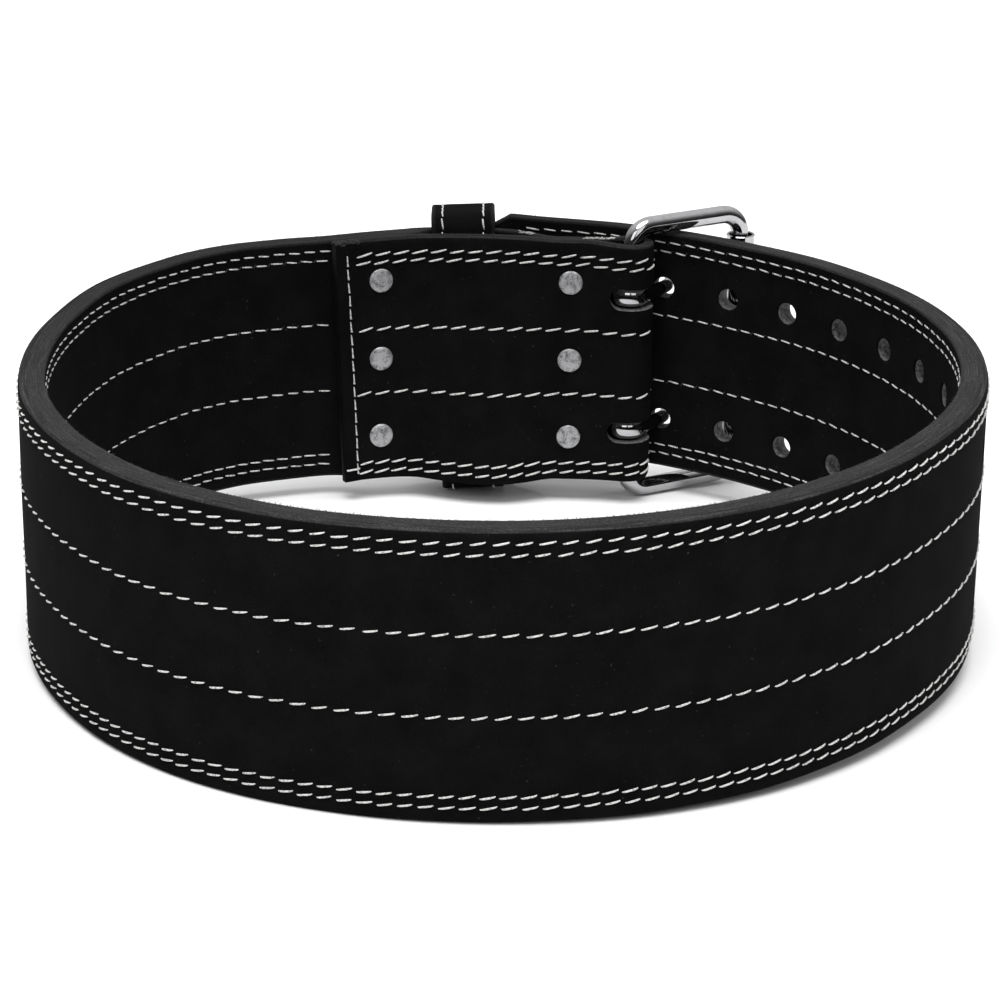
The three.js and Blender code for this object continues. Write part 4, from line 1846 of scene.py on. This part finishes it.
@dataclass
class Buckle:
    """The wire frame with its roller and two prongs."""

    finishes: Finishes
    wire_sides: int = 28
    corner_steps: int = 14
    roller_steps: int = 56
    prong_sides: int = 20
    prong_steps: int = 6
    loop_steps: int = 12
    loop_turn: float = math.radians(275)
    bar: Vector = field(init=False)
    swing: Vector = field(init=False)
    inward: Vector = field(init=False)

    def __post_init__(self) -> None:
        """Works out the bar and the frame's direction."""
        angle = math.radians(BUCKLE.swing)
        self.bar = Vector((BUCKLE.bar_across, BUCKLE.bar_reach, 0))
        self.swing = Vector((math.cos(angle), math.sin(angle), 0))
        self.inward = self.swing.cross(UP)

    @property
    def _play(self) -> float:
        """How far the roller hangs off its wire's centre."""
        return BUCKLE.roller / 2 - BUCKLE.roller_wall - BUCKLE.wire / 2 - BUCKLE.gap

    @property
    def roller_centre(self) -> Vector:
        """The outer wire's centre in plan."""
        return self.bar + self.swing * BUCKLE.bar_to_roller

    def _frame(self) -> bpy.types.Object:
        """The welded wire frame."""
        half = (BUCKLE.inner_height + BUCKLE.wire) / 2
        middle = self.bar + self.swing * (BUCKLE.bar_to_roller / 2) + UP * (STRAP.width / 2 - BUCKLE.sag)
        radius = BUCKLE.wire / 2
        places = []
        for corner in range(4):
            side = 1 if corner in (0, 3) else -1
            rise = 1 if corner < 2 else -1
            for step in range(self.corner_steps + 1):
                angle = math.pi / 2 * (corner + step / self.corner_steps)
                centre = BUCKLE.bar_to_roller / 2 - BUCKLE.corner_radius
                reach = side * centre + BUCKLE.corner_radius * math.cos(angle)
                height = rise * (half - BUCKLE.corner_radius) + BUCKLE.corner_radius * math.sin(angle)
                point = middle + self.swing * reach + UP * height
                direction = self.swing * -math.sin(angle) + UP * math.cos(angle)
                places.append(circle_place(point, direction, self.inward, radius, radius))
        bm = sweep(places, self.wire_sides, closed=True)
        return finish_piece("wire_frame", bm, (self.finishes.chrome,), ("buckle_frame",))

    def _roller(self) -> bpy.types.Object:
        """The rolled tube with its open seam and softened lips."""
        outer = BUCKLE.roller / 2
        inner = outer - BUCKLE.roller_wall
        length = BUCKLE.inner_height + BUCKLE.wire - 2 * BUCKLE.corner_radius
        lip = 0.3 * BUCKLE.roller_wall
        profile = [
            (inner, lip), (inner + lip, 0), (outer - lip, 0), (outer, lip),
            (outer, length - lip), (outer - lip, length), (inner + lip, length), (inner, length - lip),
        ]
        bm = bmesh.new()
        seam = BUCKLE.roller_seam / outer
        lathe(bm, profile, self.roller_steps, gap=seam)
        bmesh.ops.holes_fill(bm, edges=[edge for edge in bm.edges if edge.is_boundary], sides=0)
        bmesh.ops.recalc_face_normals(bm, faces=bm.faces)
        place = self.roller_centre + self.inward * self._play
        shift = Matrix.Translation((place.x, place.y, (STRAP.width - length) / 2 - BUCKLE.sag))
        bmesh.ops.transform(bm, matrix=shift @ Matrix.Rotation(seam / 2, 4, "Z"), verts=bm.verts)
        return finish_piece("roller_tube", bm, (self.finishes.chrome,), ("roller",), 30.0)

    def _prong_line(self) -> tuple[list[Vector], int]:
        """The prong's middle line in plan, with the number of points in its loop."""
        section = hole_section(0)
        centre = section.point - section.outward * (section.thickness / 2)
        radius = BUCKLE.wire / 2 + BUCKLE.gap + BUCKLE.prong_loop_thickness / 2
        leave = math.atan2(section.outward.y, section.outward.x) - math.pi / 2
        start = leave - self.loop_turn
        loop = [
            self.bar + radius * Vector((math.cos(angle), math.sin(angle), 0))
            for angle in (mix(start, leave, step / self.loop_steps) for step in range(self.loop_steps + 1))
        ]
        below = self._play - BUCKLE.roller / 2 - BUCKLE.gap - BUCKLE.prong / 2
        rest = self.roller_centre + self.inward * below
        shank = [
            centre, centre + section.outward * section.thickness, rest,
            rest + self.swing * BUCKLE.prong_past_roller,
        ]
        return loop + shank, len(loop)

    def _prong(self, name: str, node: str, row: float) -> bpy.types.Object:
        """A prong that loops round the bar and rests its tip on the roller.

        Args:
            name: The piece's name.
            node: The CAD node that it stands for.
            row: The height of its row of holes.

        Returns:
            The prong's piece.
        """
        points, looped = self._prong_line()
        height = row + hole_section(0).lift
        fine = smooth_line(points, self.prong_steps)
        places = []
        last = len(fine) - 1
        for index, point in enumerate(fine):
            at = index / last * (len(points) - 1)
            share = smooth_step(looped - 1.2, looped - 0.1, at)
            direction = fine[min(index + 1, last)] - fine[max(index - 1, 0)]
            wide = mix(BUCKLE.prong_loop_thickness, BUCKLE.prong, share) / 2
            high = mix(BUCKLE.prong_loop_height, BUCKLE.prong, share) / 2
            end = min(index, last - index) / 4
            taper = math.sqrt(max(0.12, 1 - (1 - min(1.0, end)) ** 2))
            side = direction.cross(UP)
            places.append(circle_place(point + UP * height, direction, side, wide * taper, high * taper))
        bm = sweep(places, self.prong_sides)
        return finish_piece(name, bm, (self.finishes.chrome,), (node,))

    def build(self) -> list[bpy.types.Object]:
        """Builds the buckle's pieces."""
        return [
            self._frame(),
            self._roller(),
            self._prong("upper_prong", "prong_upper", HOLE_ROWS[0]),
            self._prong("lower_prong", "prong_lower", HOLE_ROWS[1]),
        ]


def smooth_line(points: Sequence[Vector], steps: int) -> list[Vector]:
    """A centripetal Catmull-Rom line through points.

    Args:
        points: The points to pass through.
        steps: The steps between each two.

    Returns:
        The line's points.
    """
    line = []
    ends = [points[0] * 2 - points[1], *points, points[-1] * 2 - points[-2]]
    for index in range(len(points) - 1):
        before, first, second, after = ends[index:index + 4]
        start, square, cube = curve_terms(before, first, second, after)
        for step in range(steps):
            share = step / steps
            line.append(first + start * share + square * share**2 + cube * share**3)
    line.append(points[-1].copy())
    return line


# The rivets


@dataclass
class Rivets:
    """The six rivets that hold the two layers of the buckle end."""

    finishes: Finishes
    steps: int = 40
    dent: float = 0.1

    def _seat(self, across: float, height: float) -> tuple[Vector, Vector, float]:
        """Where a rivet sits.

        Args:
            across: Its column's x.
            height: Its height.

        Returns:
            The panel's face there, the outward axis and the leather that it grips.
        """
        panel_rows = PATH.fold_start
        first = next(index for index in range(panel_rows) if PATH.stations[index][0] > across) - 1
        strap_first = 2 * panel_rows + PATH.FOLD_STEPS - first
        panel = PATH.at_station(PATH.across(across, first, first + 1))
        strap = PATH.at_station(PATH.across(across, strap_first - 1, strap_first))
        share = height / STRAP.width - 0.5
        rise = Vector((0, panel.lean / STRAP.width, 1)).normalized()
        along = (panel.tangent - strap.tangent).normalized()
        axis = rise.cross(along).normalized()
        face = Vector((across, panel.point.y + panel.lean * share, height))
        grip = (strap.point.y + (strap.lean - panel.lean) * share - panel.point.y) * axis.y
        return face, axis, grip

    def _rivet(self, name: str, across: float, height: float) -> bpy.types.Object:
        """A flat-headed rivet, its heads slightly crowned and dented.

        Args:
            name: The CAD node that it stands for.
            across: Its column's x.
            height: Its height.

        Returns:
            The rivet's piece.
        """
        face, axis, grip = self._seat(across, height)
        head, shank = RIVETS.head / 2, RIVETS.shank / 2
        thick, crown = RIVETS.head_thickness, RIVETS.head_crown
        half_head = [
            (0, -thick), (0.5 * head, -thick + 0.25 * crown), (0.82 * head, -thick + 0.75 * crown),
            (0.94 * head, -0.62 * thick), (head, -0.3 * thick), (head, 0.1), (shank, 0.1),
        ]
        bm = bmesh.new()
        lathe(bm, half_head + [(reach, grip - along) for reach, along in reversed(half_head)], self.steps)
        for vert in bm.verts:
            if math.hypot(vert.co.x, vert.co.y) < 0.97 * head:
                dent = noise.noise(vert.co * 0.35 + face * 0.11)
                vert.co.z += self.dent * dent * (1 if vert.co.z > grip / 2 else -1)
        bmesh.ops.recalc_face_normals(bm, faces=bm.faces)
        turn = UP.rotation_difference(axis).to_matrix().to_4x4()
        bmesh.ops.transform(bm, matrix=Matrix.Translation(face) @ turn, verts=bm.verts)
        return finish_piece("set_" + name, bm, (self.finishes.rivet,), (name,), 35.0)

    def build(self) -> list[bpy.types.Object]:
        """Builds the rivets in their two columns."""
        pieces = []
        rise = STRAP.width / 2 - RIVETS.edge_inset
        middle = STRAP.width / 2 + RIVETS.row_lift
        for column, across in (("inner", RIVETS.column_inner), ("outer", RIVETS.column_outer)):
            for level, offset in (("top", rise), ("middle", 0), ("bottom", -rise)):
                pieces.append(self._rivet(f"rivet_{column}_{level}", across, middle + offset))
        return pieces


# The studio


@dataclass
class Studio:
    """The pale floor, the soft lights and the camera."""

    finishes: Finishes
    camera_at: tuple[float, float, float] = (-1.0, -1107.3, 465.56)
    pitch: float = 20.64
    roll: float = 0.0102
    lens: float = 116.09
    sensor: float = 36.0
    overhead: float = 3.0
    overhead_spread: float = 42.0
    overhead_tilt: tuple[float, float] = (14.0, -3.0)
    floor_half: float = 8.0
    aim: tuple[float, float, float] = (0.0, 0.0, 0.05)
    sky_lean: tuple[float, float, float] = (0.0, 0.45, 0.89)

    def _camera(self) -> None:
        """Makes the camera at the photograph's place over the belt."""
        down = math.radians(self.pitch)
        right = Vector((1, 0, 0))
        forward = Vector((0, math.cos(down), -math.sin(down)))
        above = right.cross(forward)
        turned = right * math.cos(self.roll) + above * math.sin(self.roll)
        over = above * math.cos(self.roll) - right * math.sin(self.roll)
        axes = Matrix((turned, over, -forward)).transposed().to_4x4()
        turn = REST.to_3x3().normalized().to_4x4()
        data = bpy.data.cameras.new("camera")
        data.lens = self.lens
        data.sensor_width = self.sensor
        camera = link_object("camera", data)
        camera.matrix_world = Matrix.Translation(REST @ Vector(self.camera_at)) @ turn @ axes
        bpy.context.scene.camera = camera

    def _softbox(
        self, name: str, place: tuple[float, float, float], sides: tuple[float, float], power: float
    ) -> None:
        """Adds a soft rectangular light that faces the belt.

        Args:
            name: The light's name.
            place: Its place in metres.
            sides: Its width and height in metres.
            power: Its power in watts.
        """
        data = bpy.data.lights.new(name, "AREA")
        data.shape = "RECTANGLE"
        data.size, data.size_y = sides
        data.energy = power
        light = link_object(name, data)
        light.location = place
        light.rotation_mode = "QUATERNION"
        light.rotation_quaternion = (Vector(self.aim) - Vector(place)).to_track_quat("-Z", "Y")

    def _sky(self) -> None:
        """Adds the broad overhead light that keeps the floor even."""
        data = bpy.data.lights.new("overhead", "SUN")
        data.energy = self.overhead
        data.angle = math.radians(self.overhead_spread)
        light = link_object("overhead", data)
        light.location = (0, 0, 2)
        light.rotation_euler = Euler((*map(math.radians, self.overhead_tilt), 0))

    def _floor(self) -> None:
        """Makes the floor sheet."""
        bm = bmesh.new()
        bmesh.ops.create_grid(bm, x_segments=1, y_segments=1, size=self.floor_half)
        mesh = to_mesh("floor", bm)
        mesh.materials.append(self.finishes.floor)
        floor = link_object("floor", mesh)

    def _world(self) -> None:
        """Lights the room evenly from a pale sky that darkens towards the horizon."""
        world = bpy.data.worlds.new("studio")
        world.use_nodes = True
        bpy.context.scene.world = world
        tree = world.node_tree
        direction = add_node(tree, "ShaderNodeTexCoord").outputs["Generated"]
        height = add_node(
            tree, "ShaderNodeVectorMath", {1: self.sky_lean}, {0: direction}, operation="DOT_PRODUCT"
        )
        sky = colour_ramp(
            tree, height.outputs["Value"],
            (0.0, (0.04, 0.04, 0.04, 1)), (0.3, (0.12, 0.12, 0.12, 1)), (0.85, (1, 1, 1, 1)),
        )
        feed(tree, tree.nodes["Background"], {"Strength": 1.0}, {"Color": sky})

    def build(self) -> None:
        """Builds the studio."""
        self._camera()
        self._floor()
        self._world()
        self._sky()
        self._softbox("key", (-0.55, -1.5, 1.15), (1.0, 1.1), 6.5)
        self._softbox("fill", (0.6, -1.5, 1.15), (1.0, 1.1), 5)
        bpy.context.scene.view_settings.view_transform = "Standard"


def main() -> None:
    """Builds the belt's pieces in order."""
    logging.basicConfig(level=logging.INFO, format="%(name)s: %(message)s")
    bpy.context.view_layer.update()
    finishes = Finishes()
    strap = Strap(finishes)
    strap.build()
    Stitching(finishes, strap).build()
    Keeper(finishes).build()
    LooseFibres(finishes, strap).build()
    Buckle(finishes).build()
    Rivets(finishes).build()
    Studio(finishes).build()
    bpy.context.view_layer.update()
    log.info("the strap's back face is %.0f mm long, end to end", PATH.length)


if __name__ == "__main__":
    main()
